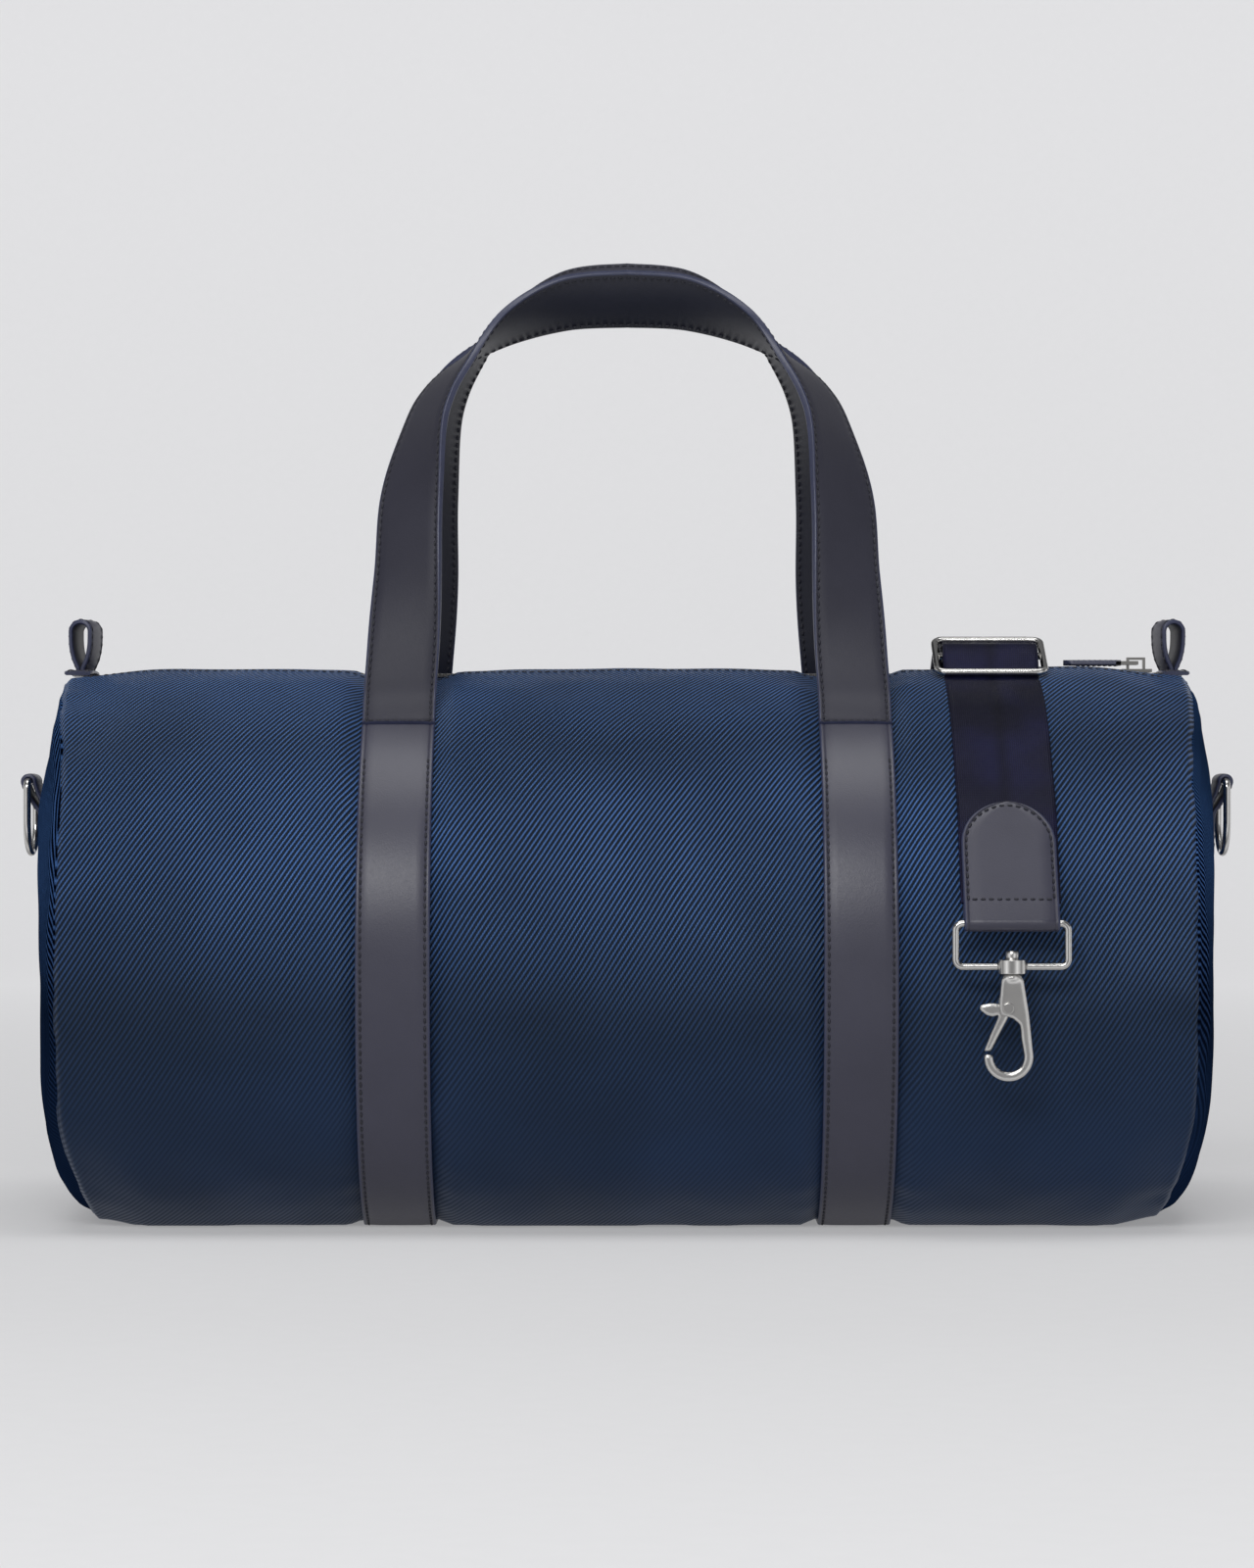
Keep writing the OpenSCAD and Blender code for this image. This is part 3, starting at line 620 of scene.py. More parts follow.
def cloth_relief(x, t, p):
    """Slack in the sewn shell: broad waves, puckers beside belts and end seams, folds low down."""
    a = abs(x)
    broad = wobble((x * 0.6, p[0], p[1]), 0.075, 1.5 * MM, 3.0)
    fine = wobble((x, p[0] * 1.4, p[1] * 1.4), 0.024, 0.45 * MM, 8.0)
    near_belt = math.exp(-((min(abs(a - BELT_IN), abs(a - BELT_OUT))) / (11 * MM)) ** 2)
    pucker = wobble((0.02 * x, p[0], p[1]), 0.011, 0.75 * MM, 5.0) * near_belt
    near_seam = math.exp(-((a - END_X + 5 * MM) / (14 * MM)) ** 2)
    gather = wobble((0.05 * x, p[0], p[1]), 0.013, 1.0 * MM, 11.0) * near_seam
    low = ramp(-math.sin(deg(t)), 0.35, 0.85)
    fold = low * wobble((x * 1.6, p[0] * 0.3, p[1] * 0.8), 0.05, 1.6 * MM, 17.0)
    return broad + fine + pucker + gather + fold


def shell_point(x_nominal, t, grow):
    base = sec(t)
    lift = cinch(x_nominal) + fullness(x_nominal) + grow
    y, z = sec(t, lift + cloth_relief(x_nominal, t, base))
    z = max(z, -grow if grow < 0 else 0.0)
    a = abs(x_nominal)
    end = seam_line(z)
    x = a if a < SHOULDER_X else lerp(SHOULDER_X, end, (a - SHOULDER_X) / (END_X - SHOULDER_X))
    return Vector((math.copysign(x, x_nominal), y, z))


def shell_rows():
    """Positions along the bag: closer together beside belts and seams."""
    half = [3 * MM * i for i in range(1, 79)] + [END_X - back * MM for back in (4.5, 3, 1.6, 0.6, 0)]
    return [-x for x in reversed(half)] + [0.0] + half


def make_shell():
    """The barrel's cloth, one thick sheet open along the zip, with a row of stitches on each hem."""
    rows, cols = shell_rows(), 240
    mouth = mouth_angle(MOUTH_HALF)
    t0, span = 90 + mouth, 360 - 2 * mouth
    verts, uvs, faces = [], [], []
    arc = [0.0]
    angles = [t0 + span * j / cols for j in range(cols + 1)]
    for a, b in zip(angles, angles[1:]):
        arc.append(arc[-1] + math.dist(sec(a), sec(b)))
    for grow in (0.0, -2.0 * MM):
        for x in rows:
            for j, t in enumerate(angles):
                p = shell_point(x, t, grow)
                # The edges beside the zip are turned down to its tapes
                hem = min(arc[j], arc[-1] - arc[j])
                p.z -= 0.9 * MM * (1 - ramp(hem, 0, 2.5 * MM))
                verts.append(p)
                uvs.append((p.x, arc[j]))
    w, shift = cols + 1, len(rows) * (cols + 1)
    for i in range(len(rows) - 1):
        for j in range(cols):
            a, b, c, d = i * w + j, i * w + j + 1, (i + 1) * w + j + 1, (i + 1) * w + j
            faces += [(a, b, c, d), (shift + a, shift + d, shift + c, shift + b)]
        for j, flip in ((0, False), (cols, True)):
            a, d = i * w + j, (i + 1) * w + j
            faces.append((a, shift + a, shift + d, d) if flip else (a, d, shift + d, shift + a))
    for i, flip in ((0, True), (len(rows) - 1, False)):
        for j in range(cols):
            a, b = i * w + j, i * w + j + 1
            faces.append((a, shift + a, shift + b, b) if flip else (a, b, shift + b, shift + a))
    shell = make_mesh("shell_fabric", verts, faces, "bag", "shell_fabric", TWILL, uvs,
                      replaces=("barrel_panel",))
    sharp_by_angle(shell, 70)
    seams = Stitches()
    for j in (3, cols - 3):
        places = [(verts[i * w + j], Vector((0, 0, 1))) for i in range(6, len(rows) - 6)]
        seams.line(places)
    seams.build("mouth_topstitch", "bag", "shell_fabric")


DOME_Z = 80 * MM


def dome_point(side, r, t, grow):
    """Point of the end panel, r from 0 at its middle to 1 at the seam, t round it in degrees."""
    y, z = sec(t, -SEAM_TUCK - SEAM_ROLL)
    y, z = r * y, DOME_Z + r * (z - DOME_Z)
    power = 2.4 - 0.8 * math.sin(deg(t))
    bulge = 17 * MM + 5 * MM * (1 - ramp(z, 20 * MM, 110 * MM)) + 4 * MM * ramp(z, 150 * MM, 190 * MM)
    rise = bulge * (1 - r ** power) + 2.0 * MM * (1 - ramp(r, 0.965, 1.0))
    rise += (seam_line(z) - seam_x(z)) * ramp(r, 0.70, 1.0)
    slack = wobble((0.3 * side, y, z), 0.06, 1.5 * MM, 21.0) + wobble((side, y, z), 0.02, 0.35 * MM, 4.0)
    gather = wobble((side, y * 0.9, z * 0.9), 0.014, 0.9 * MM, 9.0) * ramp(r, 0.72, 0.95)
    calm = ramp(math.hypot(y / 14, (z - 168 * MM) / 24), 1 * MM, 1.6 * MM)
    x = seam_x(z) + rise + (slack + gather) * calm * (1 - ramp(r, 0.95, 1.0)) + grow
    return Vector((side * x, y, z))


def make_end(side, node, name, mat, slot, outer, inner, cols):
    """Domed sheet across one end, between two offsets from the end panel's outer face."""
    levels = [0.0] + [i / 46 for i in range(1, 44)] + [0.96, 0.975, 0.985, 0.993, 1.0]
    verts, uvs, faces = [], [], []
    for grow in (outer, inner):
        for r in levels[1:]:
            for j in range(cols):
                p = dome_point(side, r, 360 * j / cols, grow)
                verts.append(p)
                uvs.append((p.y * side, p.z))
    rings = len(levels) - 1
    shift = rings * cols
    for half, turned in ((0, False), (shift, True)):
        p = dome_point(side, 0.0, 0, inner if turned else outer)
        verts.append(p)
        uvs.append((p.y * side, p.z))
        apex = len(verts) - 1
        for j in range(cols):
            k = (j + 1) % cols
            faces.append((apex, half + j, half + k))
            for i in range(rings - 1):
                faces.append((half + i * cols + j, half + (i + 1) * cols + j,
                              half + (i + 1) * cols + k, half + i * cols + k))
    rim = (rings - 1) * cols
    for j in range(cols):
        k = (j + 1) % cols
        faces.append((rim + j, shift + rim + j, shift + rim + k, rim + k))
    recalc(make_mesh(name, verts, faces, "bag", slot, mat, uvs, replaces=(node,)))


# ---- Belts and handles ----
BELT_HIGH = 0.5 * MM
LEATHERS = [LEATHER, EDGE, SHADED_LEATHER_BACK]
SHADED_HANDLE_LEATHERS = [SHADED_HANDLE_LEATHER, EDGE, SHADED_LEATHER_BACK]


def make_belt(side, name):
    """Leather belt sewn round the barrel, from one handle's end under the bag to the other's."""
    start, steps = HINGE_ANGLE - 2.0, 300
    route = []
    for i in range(steps + 1):
        t = lerp(360 + start, 180 - start, i / steps)
        y, z = sec(t)
        drift = wobble((side, y, z), 0.05, 0.5 * MM, 2.0) * ramp(z, 8 * MM, 40 * MM)
        y, z = sec(t, drift)
        route.append((y, max(z, BELT_HIGH + 0.3 * MM)))
    frames = route_frames(yz_points(route, side * BELT_X), (1, 0, 0))
    outline = strap_section(BELT_W, -BELT_TH + 0.5 * MM, BELT_HIGH)
    sweep(name + "_leather", frames, BELT_W, outline, LEATHERS, "bag", "leather", (name,))
    thread = Stitches()
    thread.edges(frames[10:-10], BELT_W, BELT_HIGH - 0.1 * MM)
    thread.build(name + "_thread", "bag")


def handle_route(lift, narrow):
    """Left half of the handle's middle line with its twist, from the sewn end to the crown."""
    hinge = 180 - HINGE_ANGLE
    root = [(-BELT_X, *sec(hinge + 1.9, 0.15 * MM), 0), (-BELT_X, *sec(hinge, 0.1 * MM), 0)]
    free = [(-94, -64.5, 221, 0), (-93, -58, 239, 2), (-91.5, -50, 271, 21), (-90.5, -42, 302, 30),
            (-86, -35, 330, 52), (-80, -31, 347, 64), (-69, -27, 361, 80), (-50, -22, 377, 110),
            (-26, -18, 387, 130), (0, -17, 389, 134)]
    free = [(x * MM, y * MM, z * MM, a) for x, y, z, a in free]
    hinge_z = sec(hinge)[1]
    out = []
    for x, y, z, a in root + free:
        k = max(0.0, min(1.0, (z - hinge_z) / (60 * MM)))
        out.append(Vector((x * (1 - narrow * k), y, z + lift * max(0.0, z - 239 * MM), a)))
    return out


def handle_frames(lift, narrow, depth):
    half = smooth_route(handle_route(lift, narrow), 12)
    full = half + [Vector((-p[0], p[1], p[2], p[3])) for p in reversed(half[:-1])]
    pts = [Vector((p[0], p[1], p[2])) for p in full]
    frames = []
    for i, p in enumerate(pts):
        t = (pts[min(i + 1, len(pts) - 1)] - pts[max(i - 1, 0)]).normalized()
        inward = Vector((t.z, 0, -t.x)).normalized()
        forward = inward.cross(t)
        a = deg(full[i][3])
        across = math.cos(a) * inward + math.sin(a) * forward
        out = across.cross(t)
        frames.append(Frame(p, across, out))
    if depth < 0:
        for f in frames:
            for v in (f.pos, f.across, f.out):
                v.y = -v.y
    return frames


def make_handle(name, lift, narrow, depth):
    """depth is 1 for the front handle and -1 for its mirror image behind."""
    frames = handle_frames(lift, narrow, depth)
    half = HANDLE_TH / 2
    outline = strap_section(BELT_W, -half, half, crown=0.25 * MM)
    leather = sweep(name + "_leather", frames, BELT_W, outline, SHADED_HANDLE_LEATHERS, None, "leather",
                    (name + "_outer", name + "_lining"))
    recalc(leather)
    thread = Stitches()
    for edge in (-1, 1):
        for face in (half - 0.1 * MM, -half - 0.05 * MM):
            thread.line(seam_places(frames[4:-4], BELT_W, edge, face))
    for f in (frames[4], frames[-5]):
        thread.line([(f.at(w * MM, half + 0.12 * MM), f.out) for w in range(-13, 14, 2)])
    threads = thread.build(name + "_thread", None)
    for piece in (leather, threads):
        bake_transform(piece)


# ---- Sewn leather parts ----
def turned(v, angle):
    return Matrix.Rotation(deg(angle), 3, "Z") @ Vector(v)


def arc_points(centre, r, a0, a1, n):
    angles = [deg(lerp(a0, a1, i / n)) for i in range(n + 1)]
    return [(centre[0] + r * math.cos(a), centre[1] + r * math.sin(a)) for a in angles]


def fine_route(points, step):
    """The same polyline with extra points on its long spans."""
    out = []
    for a, b in zip(points, points[1:]):
        n = max(1, round(math.dist(a, b) / step))
        out += [(lerp(a[0], b[0], k / n), lerp(a[1], b[1], k / n)) for k in range(n)]
    return out + [points[-1]]


LOOP_X, LOOP_W, LOOP_TH, LOOP_BASE = 232 * MM, 15 * MM, 1.8 * MM, CROWN_Z - 0.4 * MM


def make_pull_loop(side, name):
    """Grab loop above a zip end: a strip bent into an arch, both legs sewn under the patch."""
    leg = smooth_route([(-1, 0), (-1.15, 1), (-3.0, 5.2), (-4.1, 10.5), (-4.3, 16.4)], 5)[:-1]
    route = leg + arc_points((0, 16.4), 4.3, 180, 0, 22) + [(-x, z) for x, z in reversed(leg)]
    skew = 13 * side
    points = [Vector((side * LOOP_X, 0, LOOP_BASE)) + turned((x * MM, 0, z * MM), skew) for x, z in route]
    frames = route_frames(points, turned((0, -1, 0), skew))
    outline = strap_section(LOOP_W, -LOOP_TH / 2, LOOP_TH / 2, inset=1.6 * MM)
    sweep(name + "_leather", frames, LOOP_W, outline, LEATHERS, "bag", "leather", (name,))
    thread = Stitches()
    thread.edges(frames[3:-3], LOOP_W, LOOP_TH / 2 - 0.1 * MM, 1.6 * MM)
    thread.build(name + "_thread", "bag")


def make_zip_end(side, name):
    """Leather patch across each end of the mouth, stitched all round."""
    half_turn, width = mouth_angle(MOUTH_HALF + 3 * MM), 12 * MM
    places = [sec(lerp(90 + half_turn, 90 - half_turn, i / 24), -1.2 * MM) for i in range(25)]
    frames = route_frames(yz_points(places, side * 233.6 * MM), (1, 0, 0))
    for i, f in enumerate(frames):
        f.width = 1 - 0.1 * (1 - ramp(min(i, 24 - i), 0, 2))
    outline = strap_section(width, -0.8 * MM, 0.8 * MM, inset=1.7 * MM)
    sweep(name + "_leather", frames, width, outline, LEATHERS, "bag", "leather", (name,))
    thread = Stitches()
    thread.edges(frames[2:-2], width, 0.75 * MM, 1.7 * MM)
    for f in (frames[2], frames[-3]):
        thread.line([(f.at(w * MM, 0.85 * MM), f.out) for w in (-4, -2, 0, 2, 4)])
    thread.build(name + "_thread", "bag")


RING_X, RING_Z = 255.2 * MM, 184 * MM
TAB_W, TAB_TH = 21 * MM, 1.6 * MM


def make_ring_tab(side, name):
    """Strip folded over the ring's bar, both leaves sewn to the end panel."""
    back = smooth_route([(-7.3, -31), (-7.2, -20), (-6.4, -11), (-3.6, -4.4)], 6)
    front = smooth_route([(0.6, -5), (-2.6, -10), (-5.2, -15), (-5.6, -31)], 6)
    route = back[:-1] + arc_points((0, 0), 2.5, 190, -40, 20) + front
    points = [Vector((side * (RING_X + x * MM), 0, RING_Z + z * MM)) for x, z in route]
    frames = route_frames(points, (0, -side, 0))
    outline = strap_section(TAB_W, -TAB_TH / 2, TAB_TH / 2, inset=1.9 * MM)
    sweep(name + "_leather", frames, TAB_W, outline, LEATHERS, "bag", "leather", (name,))
    thread = Stitches()
    thread.edges(frames[-22:-1], TAB_W, TAB_TH / 2 - 0.1 * MM, 1.9 * MM)
    for f in (frames[-3], frames[-14]):
        thread.line([(f.at(w * MM, TAB_TH / 2 + 0.1 * MM), f.out) for w in range(-8, 9, 2)])
    thread.build(name + "_thread", "bag")


# ---- Zip ----
TAPE_Z, TAPE_TH, TEETH_Y = CROWN_Z - 4 * MM, 0.8 * MM, 3.2 * MM
TEETH_START, TEETH_END, TOOTH_PITCH = -212 * MM, 224 * MM, 2.6 * MM


def make_zip_side(side, end):
    """Tape and teeth on one side of the zip; side is -1 in front."""
    width = MOUTH_HALF + 4 * MM - TEETH_Y
    middle = TEETH_Y + width / 2
    points = [Vector((x * MM, side * middle, TAPE_Z + TAPE_TH / 2)) for x in range(-230, 231, 5)]
    frames = route_frames(points, (0, 1, 0))
    sweep("zip_tape_cloth_" + end, frames, width, flat_section(width, TAPE_TH), [TAPE], "bag", "binding_tape",
          ("zip_tape_" + end,))
    verts, faces = [], []
    profile = [(0.55, 0.55), (1.1, 0.85), (2.2, 0.85), (3.1, 0.62)]
    for k in range(int((TEETH_END - TEETH_START) / TOOTH_PITCH)):
        x = TEETH_START + TOOTH_PITCH * (k + (0.25 if side > 0 else 0.75))
        base = len(verts)
        for y, half in profile:
            high = 1.55 if 0.6 < y < 3 else 1.2
            for dx, dz in ((-half, -high), (half, -high), (half * 1.05, 0), (half, high * 0.8),
                           (half * 0.6, high), (-half * 0.6, high), (-half, high * 0.8), (-half * 1.05, 0)):
                verts.append((x + dx * MM, side * y * MM, TAPE_Z + 0.8 * MM + dz * MM))
        faces += tube_faces(base, len(profile), 8)
    teeth = make_mesh("zip_teeth_row_" + end, verts, faces, "bag", "zip_metal", ZIP_METAL,
                      replaces=("zip_teeth_" + end,))
    recalc(teeth)
    sharp_by_angle(teeth, 30)


def make_pull_leather():
    """Leather tab on the zip's pull link, its free end rounded."""
    x0, x1, z = 211.4 * MM, 187 * MM, 234.8 * MM
    width, n = 7 * MM, 30
    frames = []
    for i in range(n + 1):
        x = lerp(x0, x1, i / n)
        f = Frame(Vector((x, 0, z)), Vector((0, -1, 0)), Vector((0, 0, 1)))
        tip = (x - x1) / (3.5 * MM)
        f.width = 1 if tip > 1 else max(0.25, math.sqrt(1 - (1 - tip) ** 2))
        frames.append(f)
    outline = strap_section(width, -1.1 * MM, 1.1 * MM, inset=1.2 * MM)
    tab = sweep("pull_tab_leather", frames, width, outline, LEATHERS, "zip_pull", "leather",
                ("zip_pull_leather",))
    recalc(tab)
    thread = Stitches(1.6 * MM, 0.25 * MM)
    for edge in (-1, 1):
        for face in (1.05 * MM, -1.12 * MM):
            thread.line(seam_places(frames[1:-5], width, edge, face, 1.2 * MM), 2.3 * MM)
    thread.build("pull_tab_thread", "zip_pull")


# ---- Shoulder strap ----
def v2(angle):
    return Vector((math.cos(deg(angle)), math.sin(deg(angle))))


def mm2(y, z):
    return Vector((y * MM, z * MM))


SLIDER_TILT, SLIDER_C, BAR_PITCH = 28, mm2(-28.5, 237), 15 * MM
SLIDER_DIR, SLIDER_UP = v2(SLIDER_TILT), v2(SLIDER_TILT + 90)
REACH = WIRE_R + WEB_TH / 2 + 0.25 * MM
FOLD_REACH, LAYER_PITCH = REACH + WEB_TH + 0.3 * MM, WEB_TH + 0.3 * MM
LOW_BAR, HIGH_BAR = SLIDER_C - BAR_PITCH * SLIDER_DIR, SLIDER_C + BAR_PITCH * SLIDER_DIR
FRONT_BAR, FRONT_LEAN = mm2(-138.5, 127.6), 29
FRONT_UP, FRONT_OUT = v2(90 - FRONT_LEAN), v2(180 - FRONT_LEAN)
REAR_BAR, REAR_RISE = mm2(206, 14), 28
REAR_DIR = v2(REAR_RISE)


def shifted(route, d):
    """A (y, z) route moved d to the left of its heading."""
    out = []
    for i, p in enumerate(route):
        t = (route[min(i + 1, len(route) - 1)] - route[max(i - 1, 0)]).normalized()
        out.append(p + d * Vector((-t.y, t.x)))
    return out


def on_shell(t, grow):
    return Vector(sec(t, grow * MM))


def smooth_flat(points, n):
    return [Vector((p.x, p.y)) for p in smooth_route([Vector((q[0], q[1], 0)) for q in points], n)]


def webbing_route():
    """Closed loop of the webbing in (y, z): up from the front loop, over the slider, back over the
    crown to the rear loop, round it and back under itself to the slider."""
    front = smooth_flat(
        [FRONT_BAR + k * MM * FRONT_UP for k in (9, 30, 52)]
        + [on_shell(t, g) for t, g in ((142, 1.1), (132, 1.1), (122, 1.1), (112, 1.3))]
        + [LOW_BAR + 0.4 * MM * SLIDER_DIR - REACH * SLIDER_UP, SLIDER_C + FOLD_REACH * SLIDER_UP,
           HIGH_BAR - MM * SLIDER_DIR - REACH * SLIDER_UP], 12)
    back = smooth_flat(
        [HIGH_BAR - MM * SLIDER_DIR - (REACH + LAYER_PITCH / 2) * SLIDER_UP,
         mm2(4, 244.5), mm2(24, 241.5), mm2(46, 231)]
        + [on_shell(t, 2.1) for t in (58, 48, 36, 24, 12)]
        + [mm2(*p) for p in ((127.6, 112), (128, 90), (128.5, 60), (130, 36), (137, 17), (151, 5.5),
                             (168, 2.2), (184, 4.5))]
        + [REAR_BAR - 9 * MM * REAR_DIR], 10)
    rear_turn = [Vector(p) for p in arc_points(REAR_BAR, REACH, REAR_RISE + 90, REAR_RISE - 90, 20)]
    slider_turn = [Vector(p) for p in arc_points(SLIDER_C, REACH, SLIDER_TILT - 90, SLIDER_TILT - 270, 20)]
    return (front[:-1] + shifted(back, LAYER_PITCH / 2) + rear_turn
            + shifted(back, -LAYER_PITCH / 2)[::-1] + slider_turn)


def make_webbing():
    route = webbing_route()
    keep = [route[0]]
    for p in route[1:]:
        if (p - keep[-1]).length > 0.35 * MM:
            keep.append(p)
    frames = route_frames([Vector((STRAP_X, p.x, p.y)) for p in keep], (-1, 0, 0))
    outline = flat_section(WEB_W, WEB_TH)
    sweep("shoulder_webbing", frames, WEB_W, outline, [WEBBING], "bag", "webbing", ("strap_webbing",))


LEAF_TH, LEAF_LEN, LEAF_W = 1.6 * MM, 54 * MM, 38 * MM


def make_strap_tab():
    """Leather folded round the front loop's bar and sewn over the webbing's end."""
    offset = (WEB_TH + LEAF_TH) / 2 + 0.1 * MM
    fold_r = WIRE_R + 0.1 * MM + LEAF_TH / 2
    top, low = LEAF_LEN, 9 * MM
    steps = [LEAF_W / 2 * (1 - math.cos(deg(90 * i / 16))) for i in range(17)]
    steps += [lerp(LEAF_W / 2, top - low, i / 14) for i in range(1, 15)]
    turn = [Vector(p) for p in arc_points(FRONT_BAR, fold_r, 180 - FRONT_LEAN, 360 - FRONT_LEAN, 24)]
    front = [FRONT_BAR + (top - s) * FRONT_UP + offset * FRONT_OUT for s in steps]
    back = [FRONT_BAR + (top - s) * FRONT_UP - offset * FRONT_OUT for s in reversed(steps)]
    in_from_arch = [max(0.0, 1 - s / (LEAF_W / 2)) for s in steps]
    round_off = [max(0.06, math.sqrt(max(0.0, 1 - k ** 2))) for k in in_from_arch]
    widths = round_off + [1.0] * len(turn) + list(reversed(round_off))
    points = [Vector((STRAP_X, p.x, p.y)) for p in front + turn + back]
    frames = route_frames(points, (-1, 0, 0), widths)
    section = strap_section(LEAF_W, -LEAF_TH / 2, LEAF_TH / 2, inset=1.9 * MM, crown=0.12 * MM)
    tab = sweep("strap_tab_leather", frames, LEAF_W, section, LEATHERS, "bag", "leather", ("strap_tab",))
    recalc(tab)
    thread = Stitches()
    out3, up3 = Vector((0, FRONT_OUT.x, FRONT_OUT.y)), Vector((0, FRONT_UP.x, FRONT_UP.y))
    base = Vector((STRAP_X, FRONT_BAR.x, FRONT_BAR.y)) + out3 * (offset + LEAF_TH / 2 + 0.02 * MM)
    r, arch = LEAF_W / 2 - 1.9 * MM, LEAF_LEN - LEAF_W / 2
    foot = 9.5 * MM
    outline = [(r, foot), (r, arch)] + arc_points((0, arch), r, 0, 180, 30)
    outline += [(-r, arch), (-r, foot), (r, foot)]
    places = [(base + Vector((a, 0, 0)) + up3 * b, out3) for a, b in fine_route(outline, 2 * MM)]
    thread.line(places)
    thread.build("strap_tab_thread", "bag")


# ---- Metal fittings ----
def wire(name, path, r, body, closed=True, replaces=()):
    """Round nickel wire along a path of points."""
    n, sides = len(path), 18
    verts, faces = [], []
    normal = None
    for i, p in enumerate(path):
        a = path[(i - 1) % n] if closed or i else p
        b = path[(i + 1) % n] if closed or i < n - 1 else p
        t = (b - a).normalized()
        if normal is None:
            normal = t.orthogonal().normalized()
        normal = (normal - t * normal.dot(t)).normalized()
        side = t.cross(normal)
        for k in range(sides):
            u = TAU * k / sides
            verts.append(p + (normal * math.cos(u) + side * math.sin(u)) * r)
    if closed:
        t = (path[1] - path[-1]).normalized()
        start = verts[0] - path[0]
        spun = (normal - t * normal.dot(t)).normalized()
        offset = round(spun.angle(start) / TAU * sides) if start.length else 0
        if start.cross(spun).dot(t) < 0:
            offset = -offset
        for i in range(n):
            j = (i + 1) % n
            skip = 0 if j else offset
            for a in range(sides):
                b = (a + 1) % sides
                faces.append((i * sides + a, i * sides + b,
                              j * sides + (b + skip) % sides, j * sides + (a + skip) % sides))
    else:
        faces = tube_faces(0, n, sides)
    recalc(make_mesh(name, verts, faces, body, "nickel", NICKEL, replaces=replaces))


def rounded_frame(half_x, height, corner, n=8):
    """Points of a rectangle with rounded corners, in X and Z, its top side on z = 0."""
    out = []
    for cx, cz, a0 in ((half_x - corner, -corner, 0), (-half_x + corner, -corner, 90),
                       (-half_x + corner, -height + corner, 180), (half_x - corner, -height + corner, 270)):
        out += arc_points((cx, cz), corner, a0, a0 + 90, n)
    dense = fine_route(out + [out[0]], 3 * MM)[:-1]
    keep = [dense[0]]
    for p in dense[1:]:
        if math.dist(p, keep[-1]) > 0.05 * MM:
            keep.append(p)
    return keep


def make_d_ring(side, name):
    """D-shaped ring hanging from its tab, its bar at the top."""
    r, drop, corner = 14.35 * MM, 16 * MM, 3 * MM
    outline = arc_points((r - corner, -corner), corner, 0, 90, 8)
    outline += arc_points((-r + corner, -corner), corner, 90, 180, 8)
    outline += arc_points((0, -drop), r, 180, 360, 40)
    outline = fine_route(outline + [outline[0]], 3 * MM)[:-1]
    path = [Vector((side * RING_X, y, RING_Z + z)) for y, z in outline]
    body = "ring_right" if side > 0 else "ring_left"
    wire(name + "_wire", path, 1.6 * MM, body, replaces=(name,))


def slider_place(x, z):
    """A point of the strap slider's plane, z measured down from its high bar."""
    p = HIGH_BAR + z * SLIDER_DIR
    return Vector((STRAP_X + x, p.x, p.y))


def make_strap_slider():
    """Three-bar slider: a rounded frame and its middle bar."""
    half_x = 22.5 * MM
    path = [slider_place(x, z) for x, z in rounded_frame(half_x, 2 * BAR_PITCH, 3.4 * MM)]
    wire("strap_slider_frame", path, WIRE_R, "bag", replaces=("strap_slider",))
    bar = [slider_place(x * half_x, -BAR_PITCH) for x in (-1, -0.5, 0, 0.5, 1)]
    wire("strap_slider_bar", bar, WIRE_R, "bag", closed=False)


def finish_node(node, mat):
    """Gives a CAD node that is kept as it is its own finish."""
    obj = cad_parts[node]
    obj.data.materials.clear()
    obj.data.materials.append(mat)
    return obj


def polish(node, mat, width):
    """A kept CAD node with softened edges."""
    obj = finish_node(node, mat)
    soften = obj.modifiers.new("soften", "BEVEL")
    soften.width = width
    soften.segments = 2
    soften.limit_method = "ANGLE"
    soften.angle_limit = deg(40)
    soften.harden_normals = False


def round_casting(node, mat, passes, voxel=0.28 * MM):
    """A cast CAD node with all its edges rounded over, as die casting and polishing leave them."""
    obj = finish_node(node, mat)
    remesh = obj.modifiers.new("cast", "REMESH")
    remesh.mode = "VOXEL"
    remesh.voxel_size = voxel
    remesh.use_smooth_shade = True
    smooth = obj.modifiers.new("tumbled", "SMOOTH")
    smooth.factor = 0.5
    smooth.iterations = passes


# ---- Stage, light and camera ----
def stage_material():
    """Pale paper that glows a little, and more far out, as if it had lights of its own."""
    m = Nodes("paper")
    co = m.coords()
    grain = m.noise(co, 0.01, 3)
    x, y, _ = m.split(co)
    radius = m.math("SQRT", m.add(m.times(x, x), m.times(y, y)))
    far = m.ramp(m.times(radius, 0.25), [(0.10, grey(0.0)), (0.55, grey(1.0))])
    color = m.mix(grain, (0.44, 0.44, 0.445), (0.46, 0.46, 0.465))
    glow = m.mix(far, (0.26, 0.26, 0.264), (0.475, 0.475, 0.482))
    m.link(glow, m.shader.inputs["Emission Color"])
    return m.finish(color, 0.95, Specular_IOR_Level=0.0, Emission_Strength=1.0)


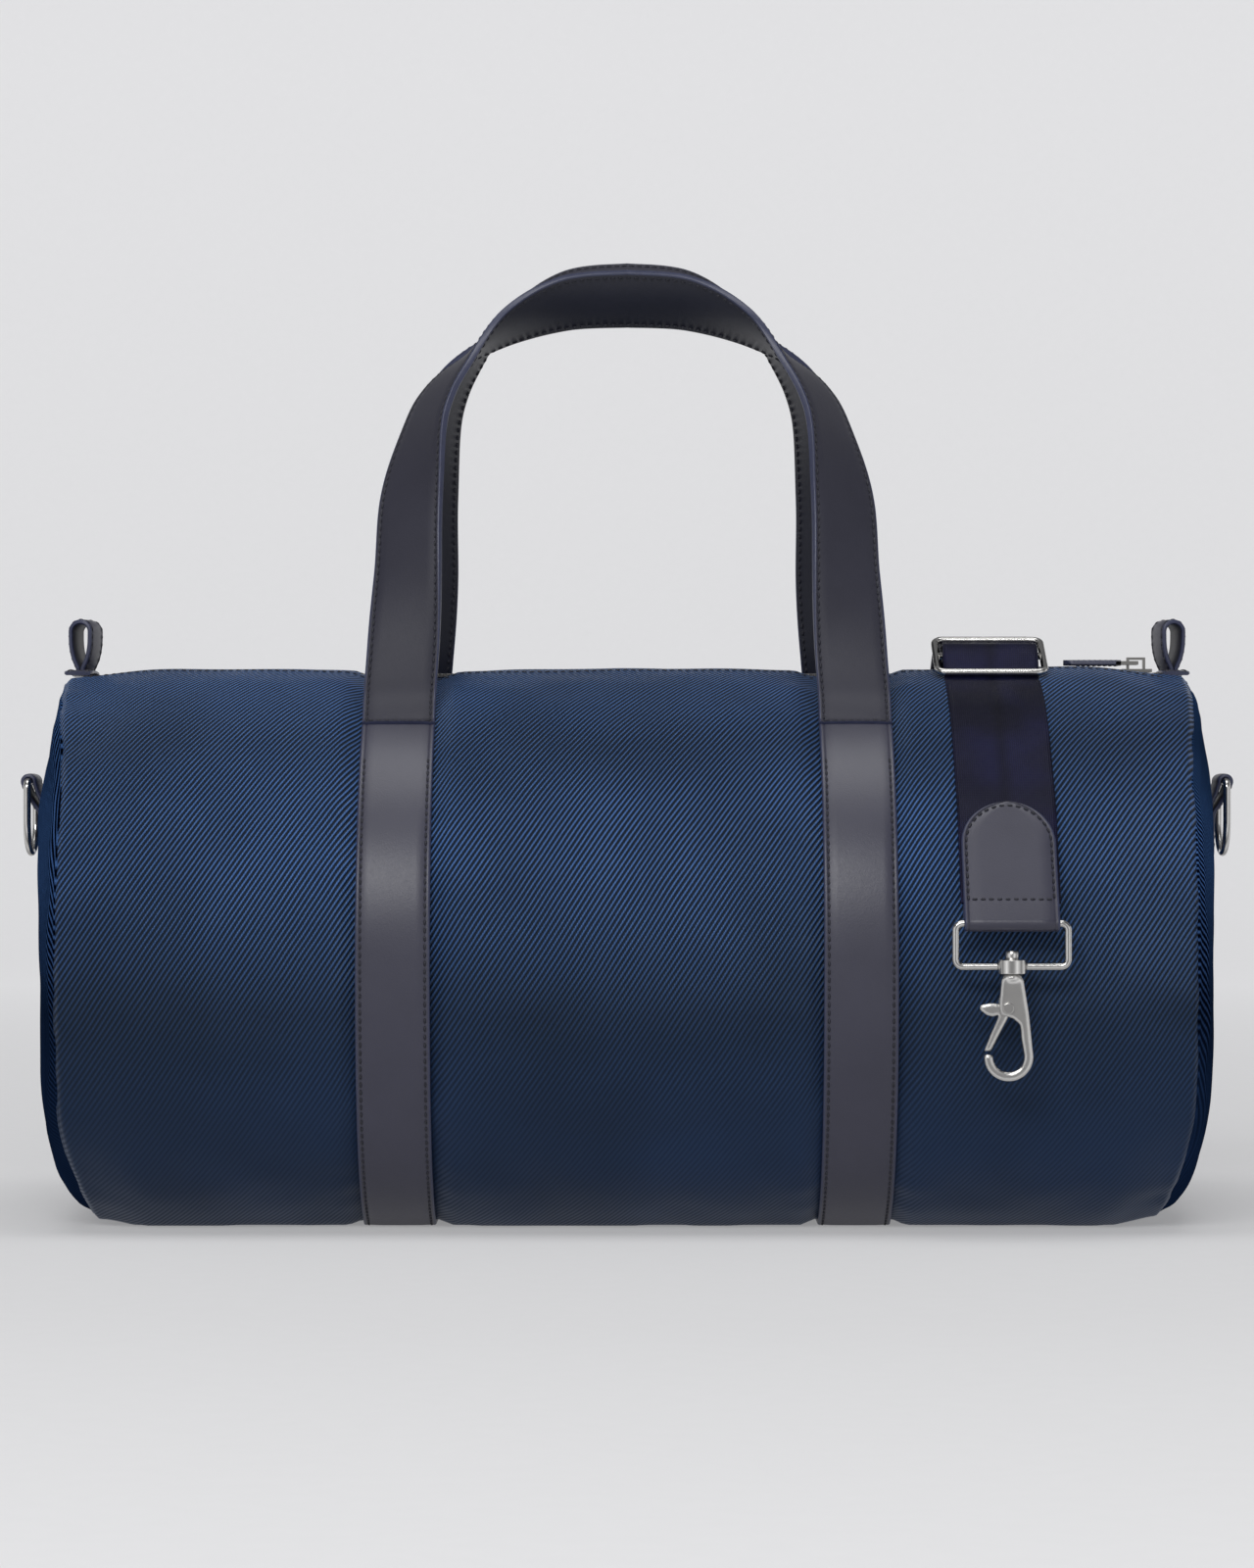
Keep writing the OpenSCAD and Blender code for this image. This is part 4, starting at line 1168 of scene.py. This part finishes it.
def make_stage():
    """A pale paper sweep: flat floor that curves up far away on every side."""
    profile = [(0.0, 0.0), (0.6, 0.0), (1.2, 0.0), (FLOOR_R, 0.0)]
    profile += arc_points((FLOOR_R, SWEEP_R), SWEEP_R, -80, 0, 8)
    profile += [(FLOOR_R + SWEEP_R, SWEEP_TOP)]
    n = 72
    verts = [Vector((0, 0, 0))]
    for r, z in profile[1:]:
        verts += [Vector((r * math.cos(TAU * k / n), r * math.sin(TAU * k / n), z)) for k in range(n)]
    faces = [(0, 1 + k, 1 + (k + 1) % n) for k in range(n)]
    for i in range(len(profile) - 2):
        for k in range(n):
            a, b = 1 + i * n + k, 1 + i * n + (k + 1) % n
            faces.append((a, a + n, b + n, b))
    make_mesh("paper_sweep", verts, faces, None, "stage", stage_material())


def add_light(name, at, target, size, watts):
    data = bpy.data.lights.new(name, "AREA")
    data.shape = "RECTANGLE"
    data.size, data.size_y = size
    data.energy = watts
    obj = bpy.data.objects.new(name, data)
    obj.location = at
    obj.rotation_euler = (Vector(target) - Vector(at)).to_track_quat("-Z", "Y").to_euler()
    bpy.context.scene.collection.objects.link(obj)


def make_world():
    """Even, faint light from all round."""
    world = bpy.data.worlds.new("studio")
    world.use_nodes = True
    background = world.node_tree.nodes["Background"]
    background.inputs["Color"].default_value = (0.96, 0.97, 1.0, 1)
    background.inputs["Strength"].default_value = 0.22
    bpy.context.scene.world = world


def make_camera():
    data = bpy.data.cameras.new("camera")
    data.sensor_fit = "VERTICAL"
    data.sensor_height = 36
    data.lens = CAMERA_LENS
    data.clip_end = 20
    camera = bpy.data.objects.new("camera", data)
    camera.location = CAMERA_AT
    camera.rotation_euler = (deg(90), 0, 0)
    bpy.context.scene.collection.objects.link(camera)
    bpy.context.scene.camera = camera


# ---- Everything in place ----
make_shell()
for side, end in ((-1, "left"), (1, "right")):
    make_end(side, "end_panel_" + end, "end_fabric_" + end, TWILL_END, "shell_fabric", 0.0, -2 * MM, 200)
    make_end(side, "end_lining_" + end, "end_lining_cloth_" + end, LINING, "lining_fabric",
             -2.8 * MM, -3.6 * MM, 60)
    make_belt(side, "belt_" + end)
    make_pull_loop(side, "pull_loop_" + end)
    make_zip_end(side, "zip_end_" + end)
    make_ring_tab(side, "ring_tab_" + end)
    make_d_ring(side, "d_ring_" + end)
make_handle("handle_front", 0.0, 0.0, 1)
make_handle("handle_back", 0.06, 0.03, -1)
make_zip_side(-1, "front")
make_zip_side(1, "back")
make_pull_leather()
make_webbing()
make_strap_tab()
make_strap_slider()

for node in ("barrel_lining", "inner_pocket"):
    finish_node(node, LINING)
for node in ("seam_binding_left", "seam_binding_right"):
    finish_node(node, TAPE)
finish_node("base_board", BOARD)
for node in ("zip_stops", "zip_slider_body", "zip_pull_link"):
    polish(node, ZIP_METAL, 0.25 * MM)
for end in ("front", "rear"):
    polish(end + "_loop", NICKEL, 0.2 * MM)
    for part, passes in (("hook", 40), ("gate", 14)):
        round_casting(end + "_" + part, NICKEL_CAST, passes)
    polish(end + "_gate_pin", NICKEL, 0.15 * MM)
    polish(end + "_gate_spring", NICKEL, 0.1 * MM)

make_stage()
add_light("key", (-0.6, -3.0, 2.0), (0, 0, 0.15), (2.0, 0.8), 52)
add_light("top", (0.0, -0.5, 2.6), (0, 0, 0.2), (2.2, 1.2), 30)
make_world()
bpy.context.scene.view_settings.view_transform = "Standard"
make_camera()
